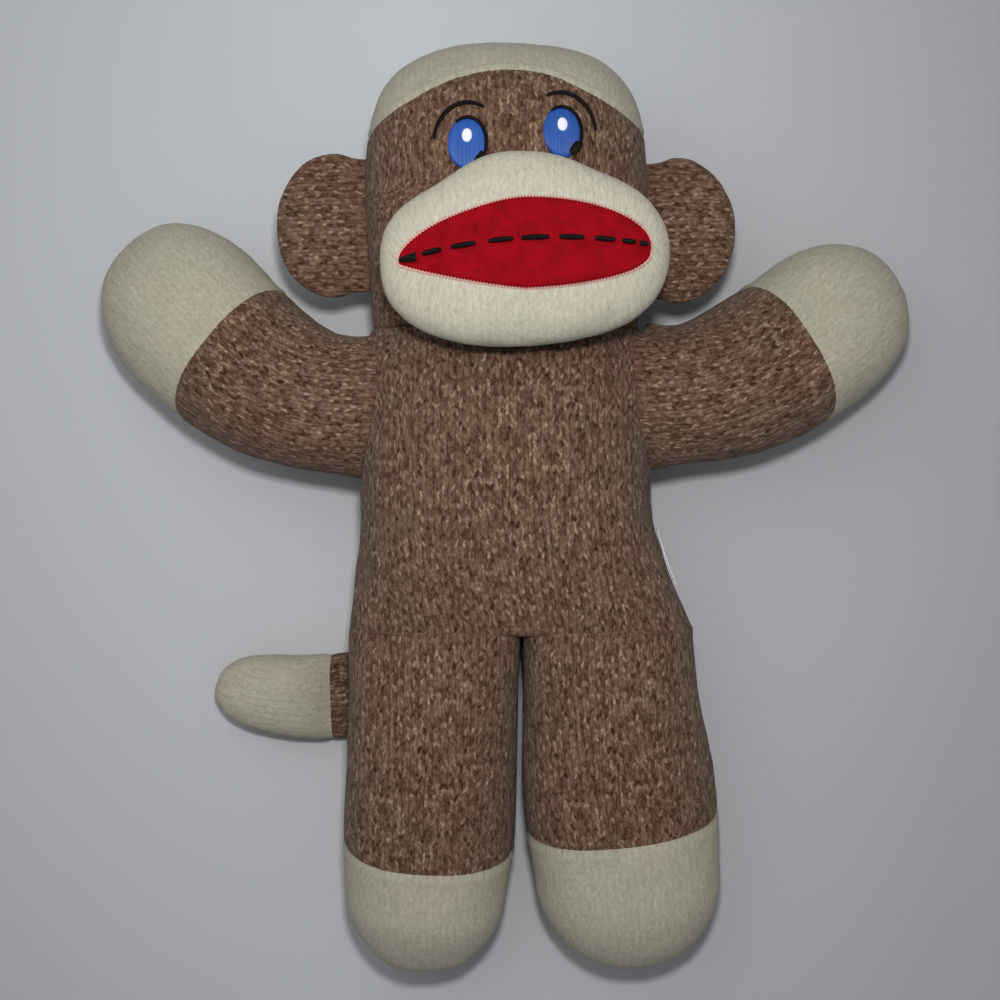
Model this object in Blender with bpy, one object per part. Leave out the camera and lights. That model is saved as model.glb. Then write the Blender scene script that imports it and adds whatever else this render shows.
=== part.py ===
"""Sock monkey doll: a knitted, stuffed toy lying on its back.

Metres, +Z up, head towards +Y. The doll looks up, so its right side is at -X.
The origin is on the table, under the middle of the torso. Each stuffed section is
a knitted cover with a filling inside, sewn to its neighbour along a flat seam that
holds a ring of thread.
"""

import math

import bmesh
import bpy
from mathutils import Matrix, Vector

# Cloth, thread and the clearance between pieces that touch
GAP = 0.0003
CLOTH = 0.0015
THREAD = 0.0012
SEAM = THREAD + 2 * GAP
PRESSED = 0.0006
SEAM_ANGLE = math.radians(0.25)
EYELET_SHARE = 0.06
BEND_SHARE = 0.36

# Torso: a tube from the seat seam up to the neck seam
TORSO_LENGTH = 0.1060
TORSO_HALF_WIDTH = 0.0540
TORSO_HALF_DEPTH = 0.0435
SHOULDER_HALF_WIDTH = 0.0512
SEAT_SHIFT = 0.0054
SEAT_LEAN = math.radians(-12)
HIP_FLARE_SHARE = 0.5
# Each row: place along the torso, width and depth, as shares
TORSO_SHARES = (
    (0.00, 1.130, 0.700),
    (0.09, 1.080, 0.810),
    (0.19, 1.030, 0.915),
    (0.35, 0.965, 0.998),
    (0.50, 0.960, 1.000),
    (0.70, 0.965, 1.000),
    (0.88, 0.958, 0.870),
    (0.95, 0.940, 0.725),
    (1.00, 0.885, 0.555),
)

# Head: a wide sack that stands on the neck seam, with a cap over its crown
HEAD_HEIGHT = 0.0985
HEAD_HALF_WIDTH = 0.0520
HEAD_HALF_DEPTH = 0.0455
EAR_SEAT_HALF_WIDTH = 0.0492
HEAD_WIDEST_SHARE = 0.45
CROWN_WIDTH_POWER = 2.8
CROWN_DEPTH_POWER = 2.3
JAW_SHARES = (
    (0.00, 0.924, 0.554),
    (0.08, 0.945, 0.730),
    (0.20, 0.970, 0.890),
    (0.34, 0.995, 0.980),
    (0.45, 1.000, 1.000),
)
CAP_SIDE_SHARE = 0.38
CAP_LEAN_SHARE = 0.33
CAP_LEAN_POWER = 3.0

# Muzzle: a padded dome sewn to the face, wider than it is high
MUZZLE_HALF_WIDTH = 0.0480
MUZZLE_HALF_HEIGHT_SHARE = 0.296447
MUZZLE_DEPTH = 0.0425
MUZZLE_BASE_Z = 0.0700
MUZZLE_RISE_SHARE = 0.1665
MUZZLE_SHIFT = 0.0058
MUZZLE_TILT = math.radians(3.5)
MUZZLE_POWER = 2.35
MUZZLE_BULGE_SHARE = 0.60
MUZZLE_TUCK_SHARE = 0.88
CHIN_TUCK_SHARE = 0.56
NOSE_TUCK_SHARE = 0.72
NOSE_RISE_SHARE = 0.21
NOSE_SPREAD = math.radians(20)

# Mouth: a red lens of felt with one row of running stitches
MOUTH_HALF_LENGTH = 0.0405
MOUTH_UPPER = 0.0172
MOUTH_LOWER = 0.0118
MOUTH_CORNER = 0.0009
MOUTH_POWER = 1.75
FELT = 0.0012
STITCH_WIDTH = 0.0017
STITCH_HEIGHT = 0.0009
# Each row: middle and length of a stitch, as shares of the mouth's half length
STITCH_SHARES = (
    (-0.935, 0.110),
    (-0.730, 0.155),
    (-0.480, 0.195),
    (-0.185, 0.195),
    (0.085, 0.220),
    (0.370, 0.195),
    (0.630, 0.160),
    (0.820, 0.110),
    (0.940, 0.070),
)
STITCH_ARCH = 0.0038

# Eyes and brows: embroidery that lies on the face
EYE_HALF_WIDTH = 0.0065
EYE_HALF_HEIGHT = 0.0088
EMBROIDERY = 0.0010
RIM_WIDTH = 0.0014
GLINT_HALF_WIDTH = 0.0017
GLINT_HALF_HEIGHT = 0.0024
GLINT_RISE = 0.0024
RIGHT_EYE_SHIFT = -0.0131
RIGHT_EYE_RISE_SHARE = 0.5645
LEFT_EYE_SHIFT = 0.0186
LEFT_EYE_RISE_SHARE = 0.6050
RIM_START = math.radians(125)
RIM_SWEEP = math.radians(-155)
BROW_HALF_WIDTH = 0.0112
BROW_HALF_HEIGHT = 0.0142
BROW_WIDTH = 0.0013
RIGHT_BROW_START = math.radians(172)
RIGHT_BROW_SWEEP = math.radians(-112)
LEFT_BROW_START = math.radians(118)
LEFT_BROW_SWEEP = math.radians(-112)

# Ears: flat pads sewn to the sides of the head, which fold forwards
EAR_HALF_HEIGHT = 0.0260
EAR_HALF_DEPTH = 0.0068
EAR_REACH = 0.0308
RIGHT_EAR_RISE_SHARE = 0.3574
LEFT_EAR_RISE_SHARE = 0.3401
EAR_SHARES = ((0.0, 0.88, 0.72), (0.25, 0.99, 0.95), (0.45, 1.0, 1.0), (0.60, 0.97, 0.96))
EAR_DOME_SHARE = 0.30

# Arms: sleeves that widen towards mitten hands and slope down to the table
RIGHT_ARM_HALF_WIDTH = 0.0306
LEFT_ARM_HALF_WIDTH = 0.0290
ARM_HALF_DEPTH = 0.0282
RIGHT_ARM_RISE = 0.0792
LEFT_ARM_RISE = 0.0822
SHOULDER_Z = 0.0430
RIGHT_ARM_SHARES = (
    (0.00, 0.800, 0.790),
    (0.12, 0.820, 0.830),
    (0.30, 0.900, 0.930),
    (0.50, 0.965, 1.000),
    (0.70, 1.000, 1.000),
    (1.00, 0.980, 0.960),
)
LEFT_ARM_SHARES = (
    (0.00, 0.845, 0.790),
    (0.12, 0.860, 0.830),
    (0.30, 0.940, 0.930),
    (0.50, 0.990, 1.000),
    (0.70, 1.000, 1.000),
    (1.00, 0.980, 0.960),
)
ARM_DOME_SHARE = 0.68
RIGHT_HAND_REACH = 0.0870
RIGHT_HAND_RISE = 0.0592
LEFT_HAND_REACH = 0.0895
LEFT_HAND_RISE = 0.0462
RIGHT_HAND_LEAN = math.radians(44)
LEFT_HAND_LEAN = math.radians(36)
RIGHT_CUFF_SHARE = 0.475
LEFT_CUFF_SHARE = 0.50

# Legs: tubes sewn side by side to the seat, with cream feet
LEG_GAP = 0.0034
LEG_HALF_DEPTH = 0.0302
RIGHT_LEG_HALF_WIDTH = 0.0311
LEFT_LEG_HALF_WIDTH = 0.0352
RIGHT_LEG_LENGTH = 0.1262
LEFT_LEG_LENGTH = 0.1244
RIGHT_LEG_SHARES = (
    (0.00, 0.955, 0.940),
    (0.15, 0.975, 0.960),
    (0.45, 1.000, 1.000),
    (0.70, 0.950, 0.990),
    (1.00, 0.920, 0.960),
)
LEFT_LEG_SHARES = (
    (0.00, 0.845, 0.940),
    (0.15, 0.890, 0.960),
    (0.45, 0.990, 1.000),
    (0.70, 0.965, 0.990),
    (1.00, 0.900, 0.960),
)
LEG_DOME_SHARE = 0.72
RIGHT_FOOT_SHIFT = -0.0036
LEFT_FOOT_SHIFT = 0.0094
RIGHT_LEG_STRAIGHT_SHARE = 0.60
LEFT_LEG_STRAIGHT_SHARE = 0.40
RIGHT_ANKLE_SHARE = 0.515
LEFT_ANKLE_SHARE = 0.53

# Tail: pressed flat under the right leg, round beyond it
TAIL_HALF_WIDTH = 0.0155
TAIL_HALF_HEIGHT = 0.0140
TAIL_ROOT_SHIFT = -0.0030
TAIL_ROOT_RISE = 0.0100
TAIL_TIP_SHIFT = -0.1085
TAIL_TIP_DROP = 0.0228
TAIL_TIP_LEAN = math.radians(20)
TAIL_SHARES = (
    (0.00, 0.900, 0.295),
    (0.12, 0.950, 0.290),
    (0.30, 1.000, 0.315),
    (0.48, 1.030, 0.340),
    (0.64, 1.040, 0.460),
    (0.76, 1.000, 0.860),
    (1.00, 0.860, 0.920),
)
TAIL_DOME_SHARE = 0.80
TAIL_CUFF_SHARE = 0.67

# Care label: a blank fold of tape in the left side seam
LABEL_LENGTH = 0.0210
LABEL_HEIGHT = 0.0120
LABEL_THICKNESS = 0.0010
LABEL_SHARE = 0.225

# Counts and a power that set how fine and how square the meshes are
LIMB_SIDES = 16
PANEL_SIDES = 9
HEAD_SIDES = 10
MUZZLE_SIDES = 24
THREAD_SIDES = 3
THREAD_STEPS = 16
COVER_SIDES_PER_FILLING_SIDE = 2
SECTION_POWER = 2.3

NECK_Y = TORSO_LENGTH / 2
SEAT_Y = -TORSO_LENGTH / 2
TORSO_Z = TORSO_HALF_DEPTH - PRESSED
HEAD_Y = NECK_Y + SEAM
HEAD_Z = HEAD_HALF_DEPTH - PRESSED
HEAD_WIDEST_Y = HEAD_Y + HEAD_HEIGHT * HEAD_WIDEST_SHARE
HEAD_TOP_Y = HEAD_Y + HEAD_HEIGHT
MUZZLE_Y = HEAD_Y + HEAD_HEIGHT * MUZZLE_RISE_SHARE
MUZZLE_HALF_HEIGHT = HEAD_HEIGHT * MUZZLE_HALF_HEIGHT_SHARE
MUZZLE_TOP_Z = MUZZLE_BASE_Z + MUZZLE_DEPTH
X_AXIS = Vector((1, 0, 0))
Y_AXIS = Vector((0, 1, 0))
Z_AXIS = Vector((0, 0, 1))


def clear_scene():
    for obj in list(bpy.data.objects):
        bpy.data.objects.remove(obj, do_unlink=True)


def material(name, colour, roughness=0.95):
    made = bpy.data.materials.get(name)
    if made is None:
        made = bpy.data.materials.new(name)
        made.use_nodes = True
        shader = made.node_tree.nodes["Principled BSDF"]
        shader.inputs["Base Color"].default_value = (*colour, 1.0)
        shader.inputs["Roughness"].default_value = roughness
        shader.inputs["Metallic"].default_value = 0.0
    return made


def brown_knit():
    return material("brown_knit", (0.190, 0.118, 0.082))


def cream_knit():
    return material("cream_knit", (0.560, 0.500, 0.385))


def red_felt():
    return material("red_felt", (0.420, 0.006, 0.014))


def blue_thread():
    return material("blue_thread", (0.020, 0.110, 0.450), 0.55)


def black_thread():
    return material("black_thread", (0.012, 0.009, 0.010), 0.60)


def white_thread():
    return material("white_thread", (0.800, 0.800, 0.850), 0.55)


def sewing_thread():
    return material("sewing_thread", (0.120, 0.070, 0.048), 0.75)


def fibre():
    return material("fibre", (0.850, 0.850, 0.840))


def label_tape():
    return material("label_tape", (0.720, 0.720, 0.740), 0.60)


def between(shares, place, column):
    """A smooth value from a table whose first column is the place."""
    last = len(shares) - 1
    index = 0
    while index < last - 1 and place > shares[index + 1][0]:
        index += 1
    low, high = shares[index], shares[index + 1]
    before = shares[max(index - 1, 0)]
    after = shares[min(index + 2, last)]
    span = high[0] - low[0]
    step = min(1.0, max(0.0, (place - low[0]) / span))
    slope_in = (high[column] - before[column]) / (high[0] - before[0]) * span
    slope_out = (after[column] - low[column]) / (after[0] - low[0]) * span
    square, cube = step * step, step * step * step
    return (
        low[column] * (2 * cube - 3 * square + 1)
        + slope_in * (cube - 2 * square + step)
        + high[column] * (3 * square - 2 * cube)
        + slope_out * (cube - square)
    )


def oval(angle, half_width, half_height, power=SECTION_POWER):
    """A point of a superellipse, a little squarer than an ellipse."""
    across, up = math.cos(angle), math.sin(angle)
    return (
        math.copysign(abs(across) ** (2 / power), across) * half_width,
        math.copysign(abs(up) ** (2 / power), up) * half_height,
    )


def falling(share, power):
    """The height of a superellipse over a share of its half width."""
    return max(0.0, 1 - min(1.0, abs(share)) ** power) ** (1 / power)


def steps(first, last, count):
    return [first + (last - first) * i / count for i in range(count + 1)]


def turns(count):
    return [2 * math.pi * (i + 0.5) / count for i in range(count)]


FRONT = steps(SEAM_ANGLE, math.pi - SEAM_ANGLE, PANEL_SIDES)
BACK = steps(math.pi + SEAM_ANGLE, 2 * math.pi - SEAM_ANGLE, PANEL_SIDES)
FACE = steps(SEAM_ANGLE, math.pi - SEAM_ANGLE, HEAD_SIDES)
NAPE = steps(math.pi + SEAM_ANGLE, 2 * math.pi - SEAM_ANGLE, HEAD_SIDES)


class Form:
    """A stuffed form: oval rings along a curved spine.

    Stations from 0 to 1 run along the tube, and from 1 to 2 over a domed end.
    """

    def __init__(self, start, start_axis, end, end_axis, sizes, shares, dome_share=1.0):
        reach = (end - start).length * BEND_SHARE
        self.control = [start, start + start_axis * reach, end - end_axis * reach, end]
        self.length = (end - start).length
        self.half_width, self.half_depth = sizes
        self.shares = shares
        self.dome_share = dome_share
        self.upright = False
        self.resting = False
        self.side_limit = None

    def spine(self, place):
        a, b, c, d = self.control
        rest = 1 - place
        return a * rest**3 + b * (3 * place * rest**2) + c * (3 * place**2 * rest) + d * place**3

    def heading(self, place):
        a, b, c, d = self.control
        rest = 1 - place
        return ((b - a) * rest**2 + (c - b) * (2 * place * rest) + (d - c) * place**2).normalized()

    def ring(self, station, inset):
        """Centre, sideways axis, upward axis, half width and half depth."""
        first = inset / self.length
        if station <= 1:
            last = 1 - first if self.dome_share == 1 else 1.0
            place = min(max(station * self.dome_share, first), last)
            shrink = 1.0
        else:
            rise = math.radians(90) * (station - 1)
            place = self.dome_share + (1 - self.dome_share - first) * math.sin(rise)
            shrink = max(0.0, math.cos(rise)) ** 0.9
        widths = min(place, self.dome_share)
        half_width = between(self.shares, widths, 1) * self.half_width
        half_depth = between(self.shares, widths, 2) * self.half_depth
        centre = self.spine(place)
        if self.resting:
            centre.z = half_depth - PRESSED
        if self.upright:
            sideways, upward = X_AXIS, Z_AXIS
        else:
            sideways = self.heading(place).cross(Z_AXIS).normalized()
            upward = sideways.cross(self.heading(place))
        return centre, sideways, upward, (half_width - inset) * shrink, (half_depth - inset) * shrink

    def point(self, station, angle, inset=0.0, scale=1.0, clamped=True):
        centre, sideways, upward, half_width, half_depth = self.ring(station, inset)
        across, up = oval(angle, half_width, half_depth)
        place = centre + sideways * across + upward * up
        if clamped:
            place.z = max(place.z, inset)
        if self.side_limit:
            limit = self.side_limit(place.y) - inset
            place.x = max(-limit, min(limit, place.x))
        return centre + (place - centre) * scale

    def grid(self, stations, angles, inset=0.0):
        return [[self.point(s, a, inset) for a in angles] for s in stations]

    def face(self, station, angles, inset=0.0):
        """The small ring that the cloth of a flat end closes up to."""
        return [[self.point(station, a, inset, EYELET_SHARE) for a in angles]]

    def tip(self, inset=0.0):
        return [[self.point(2.0, 0.0, inset)]]

    def settle(self):
        """Lower the far end until the form is pressed a little into the table."""
        for _ in range(4):
            low = min(
                self.point(s, math.radians(-90), clamped=False).z for s in steps(0.0, 1.9, 38)
            )
            self.control[3].z -= low + PRESSED
            self.control[2].z = self.control[3].z
        return self


class HeadForm(Form):
    """The head: its crown is rounder in side view than in front view."""

    def ring(self, station, inset):
        first = self.control[0].y + inset
        widest = HEAD_WIDEST_Y
        top = HEAD_TOP_Y - inset
        if station <= 1:
            y = first + (widest - first) * station
            wide, deep = self.jaw(y, 1), self.jaw(y, 2)
        else:
            rise = math.radians(90) * (station - 1)
            up = math.sin(rise) ** (2 / CROWN_WIDTH_POWER)
            y = widest + (top - widest) * up
            wide = max(0.0, math.cos(rise)) ** (2 / CROWN_WIDTH_POWER)
            deep = falling(up, CROWN_DEPTH_POWER)
        half_width = (HEAD_HALF_WIDTH - inset) * wide
        half_depth = (HEAD_HALF_DEPTH - inset) * deep
        return Vector((0, y, HEAD_Z)), X_AXIS, Z_AXIS, half_width, half_depth

    def jaw(self, y, column):
        return between(JAW_SHARES, (y - HEAD_Y) / HEAD_HEIGHT, column)

    def front_z(self, x, y):
        """Height of the face over a point of the table."""
        if y < HEAD_WIDEST_Y:
            wide, deep = self.jaw(y, 1), self.jaw(y, 2)
        else:
            up = (y - HEAD_WIDEST_Y) / (HEAD_TOP_Y - HEAD_WIDEST_Y)
            wide, deep = falling(up, CROWN_WIDTH_POWER), falling(up, CROWN_DEPTH_POWER)
        return HEAD_Z + HEAD_HALF_DEPTH * deep * falling(x / (HEAD_HALF_WIDTH * wide), SECTION_POWER)


def cap_station(angle):
    """Where the cap's edge crosses this side of the head."""
    front = math.sin(angle)
    up = CAP_SIDE_SHARE + CAP_LEAN_SHARE * math.copysign(abs(front) ** CAP_LEAN_POWER, front)
    return 1 + math.degrees(math.asin(up ** (CROWN_WIDTH_POWER / 2))) / 90


def torso_side_limit(y):
    return SHOULDER_HALF_WIDTH + max(0.0, -y) * HIP_FLARE_SHARE


def head_side_limit(y):
    return EAR_SEAT_HALF_WIDTH


def add_rows(mesh, rows, round_about):
    """Faces between neighbouring rows of vertices. A row of one vertex is a tip."""
    for low, high in zip(rows, rows[1:]):
        count = max(len(low), len(high))
        for i in range(count if round_about else count - 1):
            j = (i + 1) % count
            corners = [low[i % len(low)], low[j % len(low)], high[j % len(high)], high[i % len(high)]]
            mesh.faces.new(list(dict.fromkeys(corners)))


def finish(name, mesh, looks):
    bmesh.ops.recalc_face_normals(mesh, faces=mesh.faces)
    data = bpy.data.meshes.new(name)
    mesh.to_mesh(data)
    mesh.free()
    data.materials.append(looks)
    obj = bpy.data.objects.new(name, data)
    bpy.context.scene.collection.objects.link(obj)
    data.shade_smooth()
    data.set_sharp_from_angle(angle=math.radians(40))
    return obj


def cloth(name, outer, inner, looks, round_about=True):
    """A sheet of cloth between two grids of points, closed along its free edges."""
    mesh = bmesh.new()
    sides = [[[mesh.verts.new(p) for p in row] for row in rows] for rows in (outer, inner)]
    for rows in sides:
        add_rows(mesh, rows, round_about)
    for end in (0, -1):
        if len(sides[0][end]) > 1:
            add_rows(mesh, [rows[end] for rows in sides], round_about)
        if not round_about:
            edges = [[row[end] for row in rows] for rows in sides]
            add_rows(mesh, edges, False)
    return finish(name, mesh, looks)


def solid(name, rows, looks):
    """A solid inside rows of points: flat at an end with many points, a tip at one."""
    mesh = bmesh.new()
    made = [[mesh.verts.new(p) for p in row] for row in rows]
    add_rows(mesh, made, True)
    for row in (made[0], made[-1]):
        if len(row) > 2:
            mesh.faces.new(row)
    return finish(name, mesh, looks)


def cut(obj, cutter):
    modifier = obj.modifiers.new("cut_by_" + cutter.name, "BOOLEAN")
    modifier.operation = "DIFFERENCE"
    modifier.object = cutter
    return obj


def thread_ring(name, centre, across, along, half_across, half_along):
    """A closed ring of sewing thread that lies in the plane of a seam."""
    normal = across.cross(along)
    rows = []
    for angle in turns(THREAD_STEPS):
        x, y = oval(angle, half_across - THREAD, half_along - THREAD)
        middle = centre + across * x + along * y
        out = (across * x / half_across + along * y / half_along).normalized()
        rows.append([
            middle + out * (THREAD / 2 * math.cos(a)) + normal * (THREAD / 2 * math.sin(a))
            for a in turns(THREAD_SIDES)
        ])
    mesh = bmesh.new()
    made = [[mesh.verts.new(p) for p in row] for row in rows]
    add_rows(mesh, made + [made[0]], True)
    return finish(name, mesh, sewing_thread())


def pivot(name, place, nodes):
    """An empty on a joint's axis, which carries the nodes that move with it."""
    empty = bpy.data.objects.new(name, None)
    bpy.context.scene.collection.objects.link(empty)
    empty.location = place
    for node in nodes:
        node.parent = empty
        node.matrix_parent_inverse = Matrix.Translation(-place)
    return empty


def padded_limb(names, form, cuff, colours):
    """The cover, the cream end and the filling of an arm, a leg, a tail or an ear."""
    angles = turns(LIMB_SIDES)
    edge = GAP / form.length / form.dome_share
    tube = steps(0.0, cuff - edge, 4)
    end = [cuff + edge] + [s for s in (1.0, 1.35, 1.65, 1.88) if s > cuff + 2 * edge]
    made = []
    for name, looks, stations, first, last in (
        (names[0], colours[0], tube, True, False),
        (names[1], colours[1], end, False, True),
    ):
        sheets = []
        for inset in (0.0, CLOTH):
            rows = form.grid(stations, angles, inset)
            if first:
                rows = form.face(0.0, angles, inset) + rows
            if last:
                rows = rows + form.tip(inset)
            sheets.append(rows)
        made.append(cloth(name, sheets[0], sheets[1], looks))
    inside = CLOTH + GAP
    rows = form.grid(tube + end, angles[::COVER_SIDES_PER_FILLING_SIDE], inside) + form.tip(inside)
    made.append(solid(names[2], rows, fibre()))
    return made


def torso_form():
    lean = Vector((math.sin(SEAT_LEAN), math.cos(SEAT_LEAN), 0))
    form = Form(
        Vector((SEAT_SHIFT, SEAT_Y, TORSO_Z)), lean,
        Vector((0, NECK_Y, TORSO_Z)), Y_AXIS,
        (TORSO_HALF_WIDTH, TORSO_HALF_DEPTH), TORSO_SHARES,
    )
    form.upright = True
    form.side_limit = torso_side_limit
    return form


def head_form():
    form = HeadForm(
        Vector((0, HEAD_Y, HEAD_Z)), Y_AXIS,
        Vector((0, HEAD_TOP_Y, HEAD_Z)), Y_AXIS,
        (HEAD_HALF_WIDTH, HEAD_HALF_DEPTH), JAW_SHARES,
    )
    form.side_limit = head_side_limit
    return form


def arm_form(side):
    """One arm: side is -1 for the doll's right and 1 for its left."""
    right = side < 0
    rise = RIGHT_ARM_RISE if right else LEFT_ARM_RISE
    start = Vector((side * (SHOULDER_HALF_WIDTH + SEAM), SEAT_Y + rise, SHOULDER_Z))
    reach = RIGHT_HAND_REACH if right else LEFT_HAND_REACH
    up = RIGHT_HAND_RISE if right else LEFT_HAND_RISE
    end = start + Vector((side * reach, up, 0)) - Z_AXIS * (SHOULDER_Z - ARM_HALF_DEPTH)
    lean = RIGHT_HAND_LEAN if right else LEFT_HAND_LEAN
    end_axis = Vector((side * math.cos(lean), math.sin(lean), 0))
    half_width = RIGHT_ARM_HALF_WIDTH if right else LEFT_ARM_HALF_WIDTH
    shares = RIGHT_ARM_SHARES if right else LEFT_ARM_SHARES
    sizes = (half_width, ARM_HALF_DEPTH)
    return Form(start, X_AXIS * side, end, end_axis, sizes, shares, ARM_DOME_SHARE).settle()


def leg_form(side):
    right = side < 0
    half_width = RIGHT_LEG_HALF_WIDTH if right else LEFT_LEG_HALF_WIDTH
    shares = RIGHT_LEG_SHARES if right else LEFT_LEG_SHARES
    aside = LEG_GAP / 2 + half_width * shares[0][1]
    start = Vector((SEAT_SHIFT + side * aside, SEAT_Y - SEAM, TORSO_Z))
    length = RIGHT_LEG_LENGTH if right else LEFT_LEG_LENGTH
    shift = RIGHT_FOOT_SHIFT if right else LEFT_FOOT_SHIFT
    end = start + Vector((shift, -length, LEG_HALF_DEPTH - TORSO_Z))
    sizes = (half_width, LEG_HALF_DEPTH)
    form = Form(start, -Y_AXIS, end, -Y_AXIS, sizes, shares, LEG_DOME_SHARE)
    straight = RIGHT_LEG_STRAIGHT_SHARE if right else LEFT_LEG_STRAIGHT_SHARE
    form.control[1] = start - Y_AXIS * length * straight
    return form.settle()


def tail_form():
    start = Vector((TAIL_ROOT_SHIFT, SEAT_Y + TAIL_ROOT_RISE, 0))
    end = Vector((TAIL_TIP_SHIFT, SEAT_Y - TAIL_TIP_DROP, 0))
    end_axis = Vector((-math.cos(TAIL_TIP_LEAN), math.sin(TAIL_TIP_LEAN), 0))
    sizes = (TAIL_HALF_WIDTH, TAIL_HALF_HEIGHT)
    form = Form(start, -Y_AXIS, end, end_axis, sizes, TAIL_SHARES, TAIL_DOME_SHARE)
    form.resting = True
    return form


def ear_form(side):
    rise_share = RIGHT_EAR_RISE_SHARE if side < 0 else LEFT_EAR_RISE_SHARE
    y = HEAD_Y + HEAD_HEIGHT * rise_share
    start = Vector((side * (EAR_SEAT_HALF_WIDTH + SEAM), y, HEAD_Z))
    end = start + X_AXIS * side * EAR_REACH
    sizes = (EAR_HALF_HEIGHT, EAR_HALF_DEPTH)
    return Form(start, X_AXIS * side, end, X_AXIS * side, sizes, EAR_SHARES, EAR_DOME_SHARE)


def make_torso():
    form = torso_form()
    stations = steps(0.0, 1.0, 8)
    made = []
    for name, angles in (("torso_front", FRONT), ("torso_back", BACK)):
        outer, inner = [
            form.face(0.0, angles, inset) + form.grid(stations, angles, inset)
            + form.face(1.0, angles, inset)
            for inset in (0.0, CLOTH)
        ]
        made.append(cloth(name, outer, inner, brown_knit(), round_about=False))
    inside = CLOTH + GAP
    rows = form.grid(stations, (FRONT + BACK)[::COVER_SIDES_PER_FILLING_SIDE], inside)
    made.append(solid("torso_filling", rows, fibre()))
    made.append(make_label(form))
    return made


def make_label(form):
    """The label hangs from the side seam, folded down along the hip."""
    outer, inner = [], []
    half = LABEL_LENGTH / TORSO_LENGTH / 2
    for station in steps(LABEL_SHARE - half, LABEL_SHARE + half, 3):
        edge = form.point(station, 0.0)
        near = edge.x + GAP
        heights = (TORSO_Z, TORSO_Z - LABEL_HEIGHT)
        outer.append([Vector((near + LABEL_THICKNESS, edge.y, z)) for z in heights])
        inner.append([Vector((near, edge.y, z)) for z in heights])
    return cloth("care_label", outer, inner, label_tape(), round_about=False)


def jaw_rows(form, angles, inset):
    edge = GAP / HEAD_HEIGHT
    return [
        [form.point(share * (cap_station(a) - edge), a, inset) for a in angles]
        for share in steps(0.0, 1.0, 7)
    ]


def crown_rows(form, angles, inset):
    edge = GAP / HEAD_HEIGHT
    rows = [
        [form.point(cap_station(a) + edge + share * (2 - cap_station(a)), a, inset) for a in angles]
        for share in (0.0, 0.3, 0.6, 0.88)
    ]
    return rows + form.tip(inset)


def make_head():
    form = head_form()
    made = []
    for name, angles in (("face_cover", FACE), ("nape_cover", NAPE)):
        outer, inner = [
            form.face(0.0, angles, inset) + jaw_rows(form, angles, inset)
            for inset in (0.0, CLOTH)
        ]
        made.append(cloth(name, outer, inner, brown_knit(), round_about=False))
    outer, inner = [crown_rows(form, FACE + NAPE, inset) for inset in (0.0, CLOTH)]
    made.append(cloth("crown_cap", outer, inner, cream_knit()))
    inside = CLOTH + GAP
    around = (FACE + NAPE)[::COVER_SIDES_PER_FILLING_SIDE]
    rows = jaw_rows(form, around, inside) + crown_rows(form, around, inside)
    made.append(solid("head_filling", rows, fibre()))
    return made


def nose_swell(angle):
    """How much further out the edge is where the muzzle rises into the nose."""
    off = (angle - math.radians(90)) / NOSE_SPREAD
    return 1 + NOSE_RISE_SHARE * math.exp(-off * off)


def muzzle_outline(angle):
    """The muzzle's edge seen from the front, from its middle."""
    x, y = oval(angle, MUZZLE_HALF_WIDTH, MUZZLE_HALF_HEIGHT, MUZZLE_POWER)
    return x * nose_swell(angle), y * nose_swell(angle)


def muzzle_place(x, y, z):
    """A point given across and up the muzzle, turned by its tilt."""
    across = x * math.cos(MUZZLE_TILT) - y * math.sin(MUZZLE_TILT)
    up = x * math.sin(MUZZLE_TILT) + y * math.cos(MUZZLE_TILT)
    return Vector((MUZZLE_SHIFT + across, MUZZLE_Y + up, z))


def muzzle_point(station, angle, inset):
    """Stations from 0 to 1 run up the side, and from 1 to 2 over the dome."""
    x, y = muzzle_outline(angle)
    size = math.hypot(x, y)
    bulge = MUZZLE_DEPTH * MUZZLE_BULGE_SHARE
    if station <= 1:
        end_tuck = NOSE_TUCK_SHARE if math.sin(angle) > 0 else CHIN_TUCK_SHARE
        tuck = MUZZLE_TUCK_SHARE + (end_tuck - MUZZLE_TUCK_SHARE) * abs(math.sin(angle)) ** 0.6
        share = tuck + (1 - tuck) * math.sin(math.radians(90) * station)
        z = bulge * station
    else:
        rise = math.radians(90) * (station - 1)
        share = max(0.0, math.cos(rise)) ** (2 / MUZZLE_POWER)
        z = bulge + (MUZZLE_DEPTH - bulge - inset) * math.sin(rise) ** (2 / MUZZLE_POWER)
    share *= (size - inset) / size
    return muzzle_place(x * share, y * share, MUZZLE_BASE_Z + z)


def muzzle_z(x, y):
    """Height of the muzzle's front over a point given across and up the muzzle."""
    across = math.copysign(abs(x / MUZZLE_HALF_WIDTH) ** (MUZZLE_POWER / 2), x)
    up = math.copysign(abs(y / MUZZLE_HALF_HEIGHT) ** (MUZZLE_POWER / 2), y)
    share = math.hypot(across, up) ** (2 / MUZZLE_POWER) / nose_swell(math.atan2(up, across))
    bulge = MUZZLE_DEPTH * MUZZLE_BULGE_SHARE
    return MUZZLE_BASE_Z + bulge + (MUZZLE_DEPTH - bulge) * falling(share, MUZZLE_POWER)


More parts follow.
